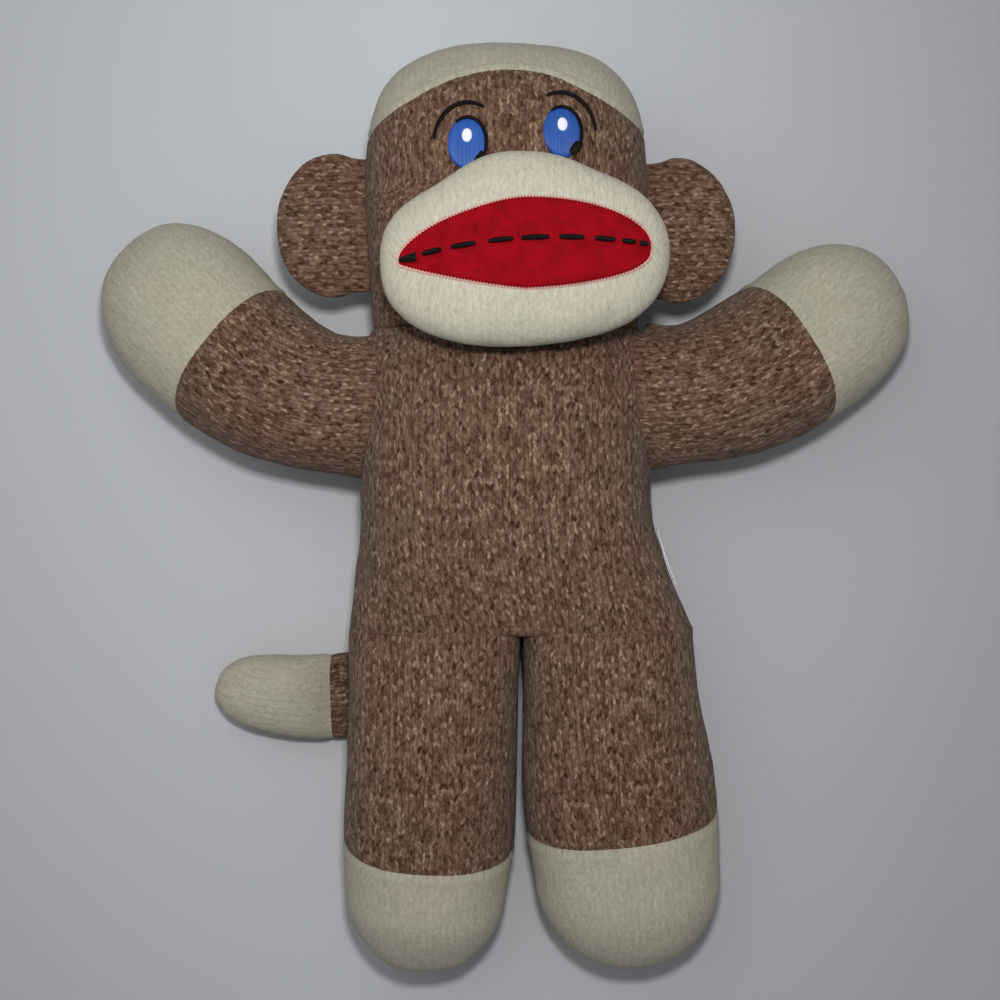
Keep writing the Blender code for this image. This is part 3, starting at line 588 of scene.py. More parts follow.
class Graph:
    """Short calls that add nodes to a material."""

    def __init__(self, name):
        self.material = bpy.data.materials.new(name)
        self.material.use_nodes = True
        self.tree = self.material.node_tree
        self.shader = self.tree.nodes["Principled BSDF"]

    def put(self, socket, value):
        if isinstance(value, Signal):
            self.tree.links.new(value.socket, socket)
        else:
            socket.default_value = value

    def add(self, kind, inputs, output=0, **settings):
        node = self.tree.nodes.new(kind)
        for key, value in settings.items():
            setattr(node, key, value)
        for key, value in inputs.items():
            self.put(node.inputs[key], value)
        return Signal(self, node.outputs[output])

    def math(self, operation, *values):
        return self.add("ShaderNodeMath", dict(enumerate(values)), operation=operation)

    def arch(self, value):
        """Rises and falls once for each whole step of a value."""
        return self.math("SINE", self.math("FRACT", value) * math.pi)

    def join(self, x, y=0.0, z=0.0):
        return self.add("ShaderNodeCombineXYZ", {0: x, 1: y, 2: z})

    def split(self, vector):
        node = self.tree.nodes.new("ShaderNodeSeparateXYZ")
        self.put(node.inputs[0], vector)
        return [Signal(self, socket) for socket in node.outputs]

    def uv(self, layer):
        return self.add("ShaderNodeUVMap", {}, uv_map=layer)

    def place(self):
        return self.add("ShaderNodeTexCoord", {}, "Object")

    def noise(self, vector, scale, detail=2.0, rough=0.5):
        inputs = {"Vector": vector, "Scale": scale, "Detail": detail, "Roughness": rough}
        return self.add("ShaderNodeTexNoise", inputs, "Fac")

    def random(self, *values):
        """A number that stays the same over each whole step of the values."""
        whole = [self.math("FLOOR", value) for value in values]
        return self.add("ShaderNodeTexWhiteNoise", {"Vector": self.join(*whole)}, "Value")

    def ramp(self, factor, stops):
        node = self.tree.nodes.new("ShaderNodeValToRGB")
        self.put(node.inputs[0], factor)
        while len(node.color_ramp.elements) < len(stops):
            node.color_ramp.elements.new(1.0)
        for element, (place, colour) in zip(node.color_ramp.elements, stops):
            element.position = place
            element.color = colour
        return Signal(self, node.outputs[0])

    def blend(self, factor, low, high):
        return self.ramp(factor, ((0.0, low), (1.0, high)))

    def times(self, colour, tint):
        node = self.tree.nodes.new("ShaderNodeMix")
        node.data_type = "RGBA"
        node.blend_type = "MULTIPLY"
        for key, value in ((0, 1.0), (6, colour), (7, tint)):
            self.put(node.inputs[key], value)
        return Signal(self, node.outputs[2])

    def stretch(self, value, low, high, to_low=0.0, to_high=1.0):
        inputs = {0: value, 1: low, 2: high, 3: to_low, 4: to_high}
        return self.add("ShaderNodeMapRange", inputs)

    def bump(self, height, strength, distance):
        inputs = {"Height": height, "Strength": strength, "Distance": distance}
        self.put(self.shader.inputs["Normal"], self.add("ShaderNodeBump", inputs))

    def finish(self, colour, roughness, sheen=0.0, specular=0.25):
        self.put(self.shader.inputs["Base Color"], colour)
        self.put(self.shader.inputs["Roughness"], roughness)
        self.shader.inputs["Sheen Weight"].default_value = sheen
        self.shader.inputs["Sheen Roughness"].default_value = 0.6
        self.shader.inputs["Specular IOR Level"].default_value = specular
        return self.material


def stitch_pattern(graph):
    """Stocking stitch: the height of the yarn, a random number for each half stitch,
    and a streaky noise that runs along the yarn."""
    uv = graph.uv("stitches")
    wobble = graph.stretch(graph.noise(uv, 0.35, 1.0), 0.3, 0.7, -0.15, 0.15)
    u, v, _ = graph.split(uv)
    u = u + wobble
    off_middle = graph.math("ABSOLUTE", graph.math("FRACT", u) - 0.5) * 2.0
    half_wales = u * 2.0
    row = v - off_middle * 0.5
    strand = graph.arch(half_wales) ** 0.7 * 0.45 + graph.arch(u) * 0.55
    height = strand * graph.stretch(graph.arch(row) ** 0.5, 0.0, 1.0, 0.72, 1.0)
    streak = graph.noise(graph.join(u * 2.3, row * 1.2), 1.0, 2.0, 0.65)
    return height, graph.random(half_wales, row), streak


def knit(name, stops, tints, relief, painted_shade, random_share):
    """Knitted yarn: stops are the yarn's colours from dark to light, tints vary it in patches,
    and painted shade darkens the gaps between the strands: shade is how dark they are painted."""
    graph = Graph(name)
    height, random, streak = stitch_pattern(graph)
    tone = random * random_share + graph.stretch(streak, 0.28, 0.72) * (1 - random_share)
    place = graph.place()
    patch = graph.stretch(graph.noise(place, 38.0), 0.35, 0.65)
    colour = graph.times(graph.ramp(tone, stops), graph.blend(patch, *tints))
    # Painted shade: the colour is darker where the yarn is low, in the gaps between the strands
    depth = graph.stretch(height, 0.0, 1.0, painted_shade, 1.0)
    colour = graph.times(colour, graph.blend(depth, (0, 0, 0, 1), (1, 1, 1, 1)))
    fuzz = graph.noise(place, 2600.0, 3.0, 0.7)
    graph.bump(height + fuzz * 0.55, relief, 0.0006)
    rough = graph.stretch(fuzz, 0.3, 0.7, 0.86, 0.98)
    return graph.finish(colour, rough, sheen=0.06, specular=0.15)


def brown_knit():
    stops = (
        (0.12, srgb(44, 24, 12)),
        (0.29, srgb(84, 61, 46)),
        (0.50, srgb(107, 84, 70)),
        (0.71, srgb(126, 104, 91)),
        (0.93, srgb(176, 156, 141)),
    )
    tints = ((1.0, 0.85, 0.78, 1), (0.95, 0.90, 0.78, 1))
    return knit("brown_marl_knit", stops, tints, 0.45, 0.50, 0.45)


def cream_knit(name, low, middle, high):
    stops = ((0.0, srgb(*low)), (0.5, srgb(*middle)), (1.0, srgb(*high)))
    tints = ((1.0, 0.985, 0.95, 1), (0.965, 0.975, 0.94, 1))
    return knit(name, stops, tints, 0.22, 0.9, 0.3)


def felt(name, dark, light):
    """Short matted fibres."""
    graph = Graph(name)
    place = graph.place()
    fibres = graph.noise(place, 1700.0, 4.0, 0.65)
    tone = fibres * 0.6 + graph.noise(place, 160.0) * 0.4
    colour = graph.blend(graph.stretch(tone, 0.35, 0.65), dark, light)
    graph.bump(fibres, 0.5, 0.0003)
    return graph.finish(colour, graph.stretch(fibres, 0.3, 0.7, 0.8, 0.95), specular=0.08)


def satin_stitch(name, dark, light, gloss=0.5):
    """Embroidery: glossy threads side by side, in the direction of the sewing coordinates."""
    graph = Graph(name)
    u, v, _ = graph.split(graph.uv("sewing"))
    jitter = graph.noise(graph.join(u * 900.0, v * 250.0), 1.0)
    line = u / SATIN_PITCH + jitter * 0.8
    strand = graph.arch(line)
    # Painted shade: the colour is darker between the threads, where strand is low; the random part is
    # each thread's own tone
    tone = strand * 0.6 + graph.random(line) * 0.4
    graph.bump(strand, 0.6, 0.0002)
    return graph.finish(graph.blend(tone, dark, light), 0.45, specular=gloss)


def tape(name, colour):
    """Woven ribbon of fine threads."""
    graph = Graph(name)
    place = graph.place()
    x, y, z = graph.split(place)
    weave = graph.math("SINE", (x + z) * 9000.0) * graph.math("SINE", y * 9000.0)
    # Painted shade: the colour is darker where the weave dips between the threads, over a random tone
    # from noise
    tone = weave * 0.2 + graph.noise(place, 300.0)
    low = tuple(c * 0.82 for c in colour[:3]) + (1.0,)
    graph.bump(weave, 0.3, 0.0001)
    return graph.finish(graph.ramp(tone, ((0.2, low), (0.8, colour))), 0.55, specular=0.3)


# Meshes


def made_object(name, points, faces, looks):
    data = bpy.data.meshes.new(name)
    data.from_pydata([tuple(p) for p in points], [], faces)
    data.validate()
    for material in looks:
        data.materials.append(material)
    obj = bpy.data.objects.new(name, data)
    bpy.context.scene.collection.objects.link(obj)
    data.shade_smooth()
    return obj


def quads(count, columns, first=0, ring=True, loop=False):
    """Faces between neighbouring rows of points. A ring joins its last column to its first,
    and a loop its last row to its first."""
    return [
        tuple(
            first + row % count * columns + column % columns
            for row, column in ((r, c), (r, c + 1), (r + 1, c + 1), (r + 1, c))
        )
        for r in range(count if loop else count - 1)
        for c in range(columns if ring else columns - 1)
    ]


def write_uv(obj, layer, values):
    obj.data.uv_layers.new(name=layer).data.foreach_set("uv", values)


def turn_outward(obj):
    mesh = bmesh.new()
    mesh.from_mesh(obj.data)
    bmesh.ops.recalc_face_normals(mesh, faces=mesh.faces)
    mesh.to_mesh(obj.data)
    mesh.free()


def patch(name, points, faces, looks, sewing=True):
    """A thin closed piece. Its sewing coordinates are its places on the table."""
    obj = made_object(name, points, faces, [looks])
    if sewing:
        loops = obj.data.loops
        write_uv(obj, "sewing", [v for loop in loops for v in points[loop.vertex_index][:2]])
    turn_outward(obj)
    return obj


def coordinates(mesh):
    flat = np.empty(len(mesh.vertices) * 3, np.float32)
    mesh.vertices.foreach_get("co", flat)
    return flat.reshape(-1, 3).astype(float)


def set_coordinates(mesh, points):
    mesh.vertices.foreach_set("co", np.asarray(points, np.float32).reshape(-1))
    mesh.update()


def tree_of(obj):
    points = [v.co.copy() for v in obj.data.vertices]
    return BVHTree.FromPolygons(points, [tuple(p.vertices) for p in obj.data.polygons])


def surface_of(obj):
    """Finds the height of a piece's front over any place."""
    tree = tree_of(obj)

    def height(x, y):
        hit = tree.ray_cast(Vector((x, y, 0.3)), -Z_AXIS)
        return hit[0].z if hit[0] is not None else None

    return height


# Cloth pieces


def skin(name, rows, looks, pole, root, change=0):
    """A closed sheet of knitting from rows of points round a form.

    rows is an array of rows, columns and xyz. The columns start at one side seam and go
    over the front panel to the other. A second colour starts at the row called change.
    """
    count, columns = rows.shape[:2]
    half = columns // 2
    closed = np.concatenate([rows, rows[:, :1]], axis=1)
    lengths = np.linalg.norm(np.diff(closed, axis=1), axis=2)
    run = np.concatenate([np.zeros((count, 1)), np.cumsum(lengths, axis=1)], axis=1)
    down = np.linalg.norm(np.diff(rows[:, half // 2], axis=0), axis=1)
    along = np.concatenate([[0.0], np.cumsum(down)]) / COURSE
    end_run = np.linalg.norm(np.array(pole) - rows[-1, half // 2]) / COURSE

    def place(row, column, panel):
        """Knitting coordinates in a panel: across from its middle, and along it."""
        start = 0.5 + panel * 0.37
        if row == count:
            return (start, along[-1] + end_run)
        middle = run[row][panel * half + half // 2]
        return ((run[row][column] - middle) / WALE + start, along[row])

    points = list(rows.reshape(-1, 3)) + [pole]
    faces, looks_of, corners = quads(count, columns), [], []
    last, tip = (count - 1) * columns, count * columns
    faces += [(last + c, last + (c + 1) % columns, tip) for c in range(columns)]
    for r in range(count):
        for c in range(columns):
            panel = int(c >= half)
            corners += [place(r, c, panel), place(r, c + 1, panel)]
            if r < count - 1:
                corners.append(place(r + 1, c + 1, panel))
            corners.append(place(r + 1, c, panel))
            looks_of.append(int(len(looks) > 1 and r >= change))
    if root is not None:
        points.append(root)
        for c in range(columns):
            panel = int(c >= half)
            faces.append(((c + 1) % columns, c, len(points) - 1))
            corners += [place(0, c + 1, panel), place(0, c, panel), (0.0, -5.0)]
            looks_of.append(0)
    obj = made_object(name, points, faces, looks)
    write_uv(obj, "stitches", [value for pair in corners for value in pair])
    obj.data.polygons.foreach_set("material_index", looks_of)
    turn_outward(obj)
    return obj


def grid_points(take, stations, columns):
    return np.array([[tuple(take(s, a, slack(a))) for a in around(columns)] for s in stations])


def seam_hold(distance):
    """How firmly the cloth is held near a seam."""
    return max(0.0, 1 - distance / SEAM_REACH)


def hold(obj, columns, rows, sewn=0.0, ends=(1,)):
    """Keeps part of the cloth still while it swells: each row by a weight of its own, the side
    seams by at least sewn, and the end points fully (0 is the pole and 1 the root)."""
    group = obj.vertex_groups.new(name="held")
    for row, held in enumerate(rows):
        for column in range(columns):
            side = sewn if column in (0, columns // 2) else 0.0
            group.add([row * columns + column], max(held, side), "REPLACE")
    for end in ends:
        group.add([len(rows) * columns + end], 1.0, "REPLACE")


def puff(objects):
    """Blow the covers up from inside as cloth, then keep the shape they take."""
    rest = {obj: coordinates(obj.data) for obj in objects}
    for obj in objects:
        modifier = obj.modifiers.new("swell", "CLOTH")
        settings = modifier.settings
        settings.quality = 6
        settings.mass = 0.15
        settings.tension_stiffness = 18
        settings.compression_stiffness = 18
        settings.shear_stiffness = 8
        settings.bending_stiffness = 1.2
        settings.use_pressure = True
        settings.uniform_pressure_force = 4
        settings.effector_weights.gravity = 0
        settings.vertex_group_mass = "held"
        modifier.collision_settings.use_collision = False
    scene = bpy.context.scene
    for number in range(1, SWELL_FRAMES + 1):
        scene.frame_set(number)
    graph = bpy.context.evaluated_depsgraph_get()
    swollen = {obj: coordinates(obj.evaluated_get(graph).data) for obj in objects}
    for obj in objects:
        obj.modifiers.clear()
        moved = swollen[obj] - rest[obj]
        size = np.linalg.norm(moved, axis=1, keepdims=True)
        moved *= np.minimum(1.0, SWELL_CAP / np.maximum(size, 1e-9))
        set_coordinates(obj.data, rest[obj] + moved)
    scene.frame_set(1)


def refine(obj):
    """Round the cloth off with one subdivision, applied."""
    modifier = obj.modifiers.new("round", "SUBSURF")
    modifier.levels = modifier.render_levels = 1
    graph = bpy.context.evaluated_depsgraph_get()
    data = bpy.data.meshes.new_from_object(obj.evaluated_get(graph))
    obj.modifiers.clear()
    old = obj.data
    obj.data = data
    bpy.data.meshes.remove(old)
    data.name = obj.name
    data.shade_smooth()


def lumps(obj):
    """The uneven filling under the cloth, and a flat side where the doll rests."""
    mesh = obj.data
    points = coordinates(mesh)
    normals = np.empty(len(points) * 3, np.float32)
    mesh.vertices.foreach_get("normal", normals)
    normals = normals.reshape(-1, 3)
    for i, point in enumerate(points):
        place = Vector(point) / LUMP_SPREAD
        lift = noise.noise(place) * LUMP_HEIGHT + noise.noise(place / 0.3) * LUMP_HEIGHT * 0.3
        points[i] = point + normals[i] * lift
    points[:, 2] = np.maximum(points[:, 2], 0.0002)
    set_coordinates(mesh, points)


def ridge(obj):
    """The turned edge of the cream cloth stands a little proud of the brown."""
    mesh = bmesh.new()
    mesh.from_mesh(obj.data)
    looks = [{f.material_index for f in v.link_faces} for v in mesh.verts]
    edge = [v.co.copy() for v, seen in zip(mesh.verts, looks) if len(seen) > 1]
    tree = KDTree(len(edge))
    for i, place in enumerate(edge):
        tree.insert(place, i)
    tree.balance()
    for vertex, seen in zip(mesh.verts, looks):
        away = tree.find(vertex.co)[2] / RIDGE_REACH
        if away < 2:
            lift = -math.exp(-(away**2) * 2)
            if seen == {1}:
                lift = math.exp(-((away - 0.7) ** 2) * 3)
            vertex.co += vertex.normal * (RIDGE_HEIGHT * lift)
    mesh.to_mesh(obj.data)
    mesh.free()


def parted(obj, names):
    """One object for each colour of a cover, with the whole cover's shading across the join."""
    whole = obj.data
    normals = [tuple(v.normal) for v in whole.vertices]
    made = []
    for index, name in enumerate(names):
        mesh = bmesh.new()
        mesh.from_mesh(whole)
        origin = mesh.verts.layers.int.new("origin")
        for vertex in mesh.verts:
            vertex[origin] = vertex.index
        others = [f for f in mesh.faces if f.material_index != index]
        bmesh.ops.delete(mesh, geom=others, context="FACES")
        for face in mesh.faces:
            face.material_index = 0
        kept = [vertex[origin] for vertex in mesh.verts]
        data = bpy.data.meshes.new(name)
        mesh.to_mesh(data)
        mesh.free()
        data.materials.append(whole.materials[index])
        data.attributes.remove(data.attributes["origin"])
        data.shade_smooth()
        data.normals_split_custom_set_from_vertices([normals[i] for i in kept])
        piece = bpy.data.objects.new(name, data)
        bpy.context.scene.collection.objects.link(piece)
        made.append(piece)
    bpy.data.objects.remove(obj, do_unlink=True)
    return made


def gusset(name, form, targets):
    """The strip of cloth inside a limb's root, from the bigger piece to the seam's thread."""
    centre, heading = form.ring(0.0)[0], form.heading(0.0)
    columns = len(targets)
    ends = [form.point(0.0, a, slack(a) + GUSSET_INSET) for a in around(columns)]
    starts = []
    for target in targets:
        start = target - (target - centre).normalized() * GUSSET_TUCK
        start.x = target.x
        starts.append(start)
    rows = np.array([
        [tuple(start.lerp(end, share)) for start, end in zip(starts, ends)]
        for share in steps(0.0, 1.0, 8)
    ])
    count = len(rows)
    obj = made_object(name, rows.reshape(-1, 3), quads(count, columns), [BROWN])
    girth = np.linalg.norm(np.diff(rows[0], axis=0), axis=1).sum()
    depth = (rows - np.array(centre)) @ np.array(heading) / SEAM + 1
    courses = np.clip(depth, 0, 1) * GUSSET_COURSES
    flat = []
    for r in range(count - 1):
        for c in range(columns):
            for row, column in ((r, c), (r, c + 1), (r + 1, c + 1), (r + 1, c)):
                across = column / columns * girth / WALE
                flat += [across, row * 0.5 + courses[row, column % columns]]
    write_uv(obj, "stitches", flat)
    return obj


def limb(name, form, targets, mesh, change_station, looks):
    """The cover of an arm, a leg, an ear or the tail, before it swells."""
    reach, root_rows, tube_rows, dome_rows, columns = mesh
    rows = form.rooted(targets, reach, root_rows, around(columns))
    first = reach / form.length / form.dome_share
    tube = grid_points(form.point, steps(first, change_station, tube_rows), columns)
    dome = grid_points(form.point, steps(change_station, DOME_END, dome_rows)[1:], columns)
    grid = np.concatenate([np.array(rows), tube, dome])
    pole = form.point(2.0, 0.0) - form.heading(1.0) * SLACK
    root = Vector(grid[0].mean(axis=0))
    obj = skin(name, grid, looks, pole, root, len(rows) + len(tube) - 1)
    held = [seam_hold((Vector(row.mean(axis=0)) - root).length) for row in grid[2:]]
    hold(obj, columns, [1.0, 1.0] + held, SIDE_HOLD)
    return obj


def side_targets(form, tree, side, flare, columns):
    """Where a limb's root meets the side of the bigger piece, a little inside it."""
    centre = form.ring(0.0)[0]
    targets = []
    for angle in around(columns):
        place = form.point(0.0, angle, slack(angle))
        place += (place - centre).normalized() * flare
        if place.y < HEAD_Y:
            place.y = min(place.y, SHOULDER_TOP_Y)
        hit = tree.ray_cast(Vector((side * 0.2, place.y, place.z)), X_AXIS * -side)[0]
        reach = place.x - side * (SEAM + TUCKED)
        if hit is not None and abs(hit.x) > 0.03:
            reach = side * min(abs(reach), abs(hit.x) - TUCKED)
        targets.append(Vector((reach, place.y, place.z)))
    return targets


def seat_targets(form, side, columns):
    """Half of the torso's seat seam, which one leg continues. Towards the other leg the
    outline is squarer, and reaches over half of the gap."""
    half_width = LEGS[side][0] * LEG_SHARES[side][0][1]
    middle = form.ring(0.0)[0].x
    torso = torso_form()
    lip = [torso.point(0.0, a, slack(a)) for a in steps(math.pi, 0.0, 400)]
    across_lip, up_lip = [p.x for p in lip], [p.z - TORSO_Z for p in lip]
    targets = []
    for angle in around(columns):
        across, up = -math.cos(angle), math.sin(angle)
        power, reach, share = SECTION_POWER, half_width - LEG_STEP, 1.0
        if across * side <= 0:
            power, reach = 6.0, half_width + LEG_GAP / 2 - LEG_STEP / 2
            share = abs(up) ** (2 / power)
        x = middle + math.copysign(abs(across) ** (2 / power), across) * reach
        depth = np.interp(x, across_lip, up_lip) - LEG_STEP
        targets.append(Vector((x, SEAT_Y + TUCKED, TORSO_Z + math.copysign(depth * share, up))))
    return targets


def rope(name, path, radius, looks):
    """Plied thread in a closed loop: strands wound round each other."""
    length = sum((b - a).length for a, b in zip(path, path[1:]))
    count = len(path)
    points, faces = [], []
    for ply in range(PLIES):
        faces += quads(count, PLY_SIDES, first=len(points), loop=True)
        for i, middle in enumerate(path):
            run = (path[(i + 1) % count] - path[i - 1]).normalized()
            side = run.cross(Z_AXIS if abs(run.z) < 0.9 else X_AXIS).normalized()
            up = side.cross(run)
            turn = 2 * math.pi * (round(length / PLY_PITCH) * i / count + ply / PLIES)
            heart = middle + (side * math.cos(turn) + up * math.sin(turn)) * radius * 0.45
            for angle in around(PLY_SIDES):
                out = side * math.cos(angle) + up * math.sin(angle)
                points.append(heart + out * radius * 0.6)
    return made_object(name, points, faces, [looks])


# Stage, light and camera


def make_stage():
    scene = bpy.context.scene
    scene.view_settings.view_transform = "Standard"
    half = TABLE_HALF_WIDTH
    corners = [(-half, -half, 0), (half, -half, 0), (half, half, 0), (-half, half, 0)]
    graph = Graph("table_paper_painted_falloff")
    place = graph.place()
    graph.bump(graph.noise(place, 900.0, 3.0), 0.05, 0.0002)
    # The paper's colour is painted light and painted shade for the lamps' falloff: lighter round a
    # middle, darker away from it
    x, y, _ = graph.split(place)
    aside = x + graph.math("MAXIMUM", x, 0.0) * PAPER_PULL - PAPER_MIDDLE[0]
    down = (y - PAPER_MIDDLE[1]) * PAPER_STRETCH
    far = graph.math("SQRT", aside * aside + down * down)
    reach = graph.stretch(far, 0.0, PAPER_REACH)
    painted_shade = graph.blend(reach, srgb(*PAPER_PAINTED_LIGHT), srgb(*PAPER_PAINTED_SHADE))
    paper = graph.finish(painted_shade, 0.9, specular=0.05)
    floor = made_object("floor", corners, [(0, 1, 2, 3)], [paper])
    world = bpy.data.worlds.new("studio")
    world.use_nodes = True
    background = world.node_tree.nodes["Background"]
    background.inputs["Color"].default_value = ROOM_COLOUR
    background.inputs["Strength"].default_value = ROOM_STRENGTH
    scene.world = world
    for name, place, size, power, colour in LAMPS:
        light = bpy.data.lights.new(name, "AREA")
        light.size = size
        light.energy = power
        light.color = colour
        lamp = bpy.data.objects.new(name, light)
        lamp.location = place
        lamp.visible_camera = False
        lamp.rotation_euler = (-Vector(place)).to_track_quat("-Z", "Y").to_euler()
        scene.collection.objects.link(lamp)


def make_camera():
    data = bpy.data.cameras.new("camera")
    data.lens = CAMERA_LENS
    data.sensor_width = 36
    camera = bpy.data.objects.new("camera", data)
    camera.location = CAMERA_PLACE
    camera.rotation_euler = (0, 0, 0)
    bpy.context.scene.collection.objects.link(camera)
    bpy.context.scene.camera = camera


# The doll's covers


def make_torso():
    """The body cover, with a skirt of cloth that turns in under the legs."""
    form = torso_form()
    edge = LIP / TORSO_LENGTH
    stations = [0.0, edge / 4] + steps(edge, 1 - edge, 38) + [1 - edge / 4, 1.0]
    grid = grid_points(form.point, stations, BODY_COLUMNS)
    skirt = grid[0].copy()
    skirt[:, 1] -= SKIRT
    skirt[:, 2] += (TORSO_Z - skirt[:, 2]) * SKIRT_IN
    grid = np.concatenate([skirt[None], grid])
    pole = Vector((0, NECK_Y, TORSO_Z))
    root = Vector((SEAT_SHIFT, SEAT_Y - SKIRT, TORSO_Z))
    obj = skin("torso_cover_knit", grid, [BROWN], pole, root)
    held = [seam_hold(min(s, 1 - s) * TORSO_LENGTH) for s in [0.0] + stations]
    hold(obj, BODY_COLUMNS, held, SIDE_HOLD, ends=(0, 1))
    return obj


def make_head():
    """The head's cover, brown up to the cap's edge, with a collar that goes into the neck."""
    form = head_form()
    cap = {angle: cap_station(angle) for angle in around(BODY_COLUMNS)}
    brown = [
        [tuple(form.point(share * cap[a], a, slack(a))) for a in cap]
        for share in steps(0.0, 1.0, 27)
    ]
    cream = [
        [tuple(form.point(cap[a] + share * (2 - cap[a]), a, slack(a))) for a in cap]
        for share in steps(0.0, 0.965, 18)[1:]
    ]
    collar = np.array([brown[0], brown[0]])
    collar[0, :, 1] -= SEAM + TUCKED
    collar[1, :, 1] -= SEAM
    grid = np.concatenate([collar, brown, cream])
    change = len(collar) + len(brown) - 1
    pole = Vector((0, HEAD_TOP_Y - SLACK, HEAD_Z))
    root = Vector((0, NECK_Y + 0.0004, HEAD_Z))
    obj = skin("head_whole", grid, [BROWN, CREAM_PARTLY_PAINTED_SHADE], pole, root, change)
    held = [1.0, 1.0] + [seam_hold(row[0][1] - grid[0][0][1]) for row in grid[2:]]
    held[change] = max(held[change], CAP_HOLD)
    hold(obj, BODY_COLUMNS, held, SIDE_HOLD / 3)
    return obj


def nose_swell(angle):
    off = (angle - math.radians(90)) / NOSE_SPREAD
    return 1 + NOSE_RISE_SHARE * math.exp(-off * off)


def muzzle_place(x, y, z=0.0):
    """A point given across and up the muzzle, turned by its tilt."""
    across = x * math.cos(MUZZLE_TILT) - y * math.sin(MUZZLE_TILT)
    up = x * math.sin(MUZZLE_TILT) + y * math.cos(MUZZLE_TILT)
    return Vector((MUZZLE_SHIFT + across, MUZZLE_Y + up, z))


def muzzle_point(station, angle, inset):
    """Stations from 0 to 1 run up the side, and from 1 to 2 over the dome."""
    x, y = oval(angle, MUZZLE_HALF_WIDTH, MUZZLE_HALF_HEIGHT, MUZZLE_POWER)
    x, y = x * nose_swell(angle), y * nose_swell(angle)
    size = math.hypot(x, y)
    bulge = MUZZLE_DEPTH * MUZZLE_BULGE_SHARE
    if station <= 1:
        end_tuck = NOSE_TUCK_SHARE if math.sin(angle) > 0 else CHIN_TUCK_SHARE
        tuck = MUZZLE_TUCK_SHARE + (end_tuck - MUZZLE_TUCK_SHARE) * abs(math.sin(angle)) ** 0.6
        share = tuck + (1 - tuck) * math.sin(math.radians(90) * station)
        z = bulge * station
    else:
        rise = math.radians(90) * (station - 1)
        share = max(0.0, math.cos(rise)) ** (2 / MUZZLE_POWER)
        z = bulge + (MUZZLE_DEPTH - bulge - inset) * math.sin(rise) ** (2 / MUZZLE_POWER)
    share *= (size - inset) / size
    return muzzle_place(x * share, y * share, MUZZLE_BASE_Z + z)


def make_muzzle():
    stations = steps(0.0, 1.0, 11) + steps(1.0, 1.95, 17)[1:]
    grid = np.array([
        [tuple(muzzle_point(s, a, SLACK * s / 2)) for a in around(BODY_COLUMNS)]
        for s in stations
    ])
    pole = muzzle_point(2.0, 0.0, SLACK)
    obj = skin("muzzle_cover_knit", grid, [MUZZLE_CREAM], pole, None)
    hold(obj, BODY_COLUMNS, [1.0] * 4, ends=())
    return obj


# Felt and embroidery


def drape(name, rows, looks, top, thickness, height, sewing=False):
    """A thin patch that lies on a surface: rows of places, closed at its edges. A place may
    have a third number, which lifts the patch's upper side there."""
    count, columns = len(rows), len(rows[0])
    points = []
    for lift in (top, top - thickness):
        for x, y, *extra in (place for row in rows for place in row):
            points.append((x, y, height(x, y) + lift + (sum(extra) if lift == top else 0.0)))
    low = count * columns
    faces = []
    for face in quads(count, columns, ring=False):
        faces += [face, tuple(low + n for n in reversed(face))]
    rim = list(range(columns)) + [r * columns + columns - 1 for r in range(1, count)]
    rim += [(count - 1) * columns + c for c in range(columns - 2, -1, -1)]
    rim += [r * columns for r in range(count - 2, 0, -1)]
    faces += [(b, a, low + a, low + b) for a, b in zip(rim, rim[1:] + rim[:1])]
    return patch(name, points, faces, looks, sewing)


def make_mouth(muzzle_height):
    """Red felt whose edge is sewn down with short stitches, and a paler felt that shows beneath."""
    made = []
    for (name, grow, low, thickness), looks in zip(MOUTH_LAYERS, (PINK, RED)):
        rows = []
        half = MOUTH_HALF_LENGTH + grow
        for i, x in enumerate(steps(-half, half, MOUTH_COLUMNS)):
            upper, lower = [falling(x / half, p[x > 0]) for p in (UPPER_LIP_POWERS, LOWER_LIP_POWERS)]
            nick = NICK * math.cos(math.pi * i) if 4 < i < MOUTH_COLUMNS - 4 else 0.0
            top = MOUTH_CORNER + (MOUTH_UPPER - MOUTH_CORNER) * upper + grow + nick
            bottom = MOUTH_CORNER + (MOUTH_LOWER - MOUTH_CORNER) * lower + grow + nick
            row = []
            for step in steps(-1.0, 1.0, 22):
                place = muzzle_place(x, (top if step > 0 else bottom) * step)
                edge = max(0.0, 1 - (1 - abs(step)) / ROUND_SHARE)
                row.append((place.x, place.y, -ROUND_OFF * edge))
            rows.append(row)
        made.append(drape(name, rows, looks, low, thickness, muzzle_height))
    return made


def mouth_line(x):
    return STITCH_ARCH * math.cos(math.radians(90) * x / MOUTH_HALF_LENGTH)


def stitch(name, path, width, low, height, looks=None, tall=0.0008, taper=0.35):
    """A flat bundle of thread, rounded across and drawn in at its ends."""
    rows = []
    count = len(path)
    for i, (x, y) in enumerate(path):
        before, after = path[max(i - 1, 0)], path[min(i + 1, count - 1)]
        run = Vector((after[0] - before[0], after[1] - before[1])).normalized()
        share = i / (count - 1)
        ends = math.sqrt(min(1.0, min(share, 1 - share) / taper))
        half = width / 2 * (0.55 + 0.45 * ends)
        row = []
        for step in steps(-1.0, 1.0, 6):
            crown = tall * math.sqrt(1 - step * step * 0.96) * (0.45 + 0.55 * ends)
            row.append((x - run.y * half * step, y + run.x * half * step, crown))
        rows.append(row)
    return drape(name, rows, looks or BLACK, low, 0.0002, height, sewing=True)


def make_mouth_stitches(height):
    made = []
    for i, (middle, length) in enumerate(STITCH_SHARES):
        ends = [(middle + end * length / 2) * MOUTH_HALF_LENGTH for end in (-1, 1)]
        path = [muzzle_place(x, mouth_line(x))[:2] for x in steps(*ends, 14)]
        made.append(stitch(f"mouth_dash_{i + 1}", path, STITCH_WIDTH, DASH_RISE, height))
    return made


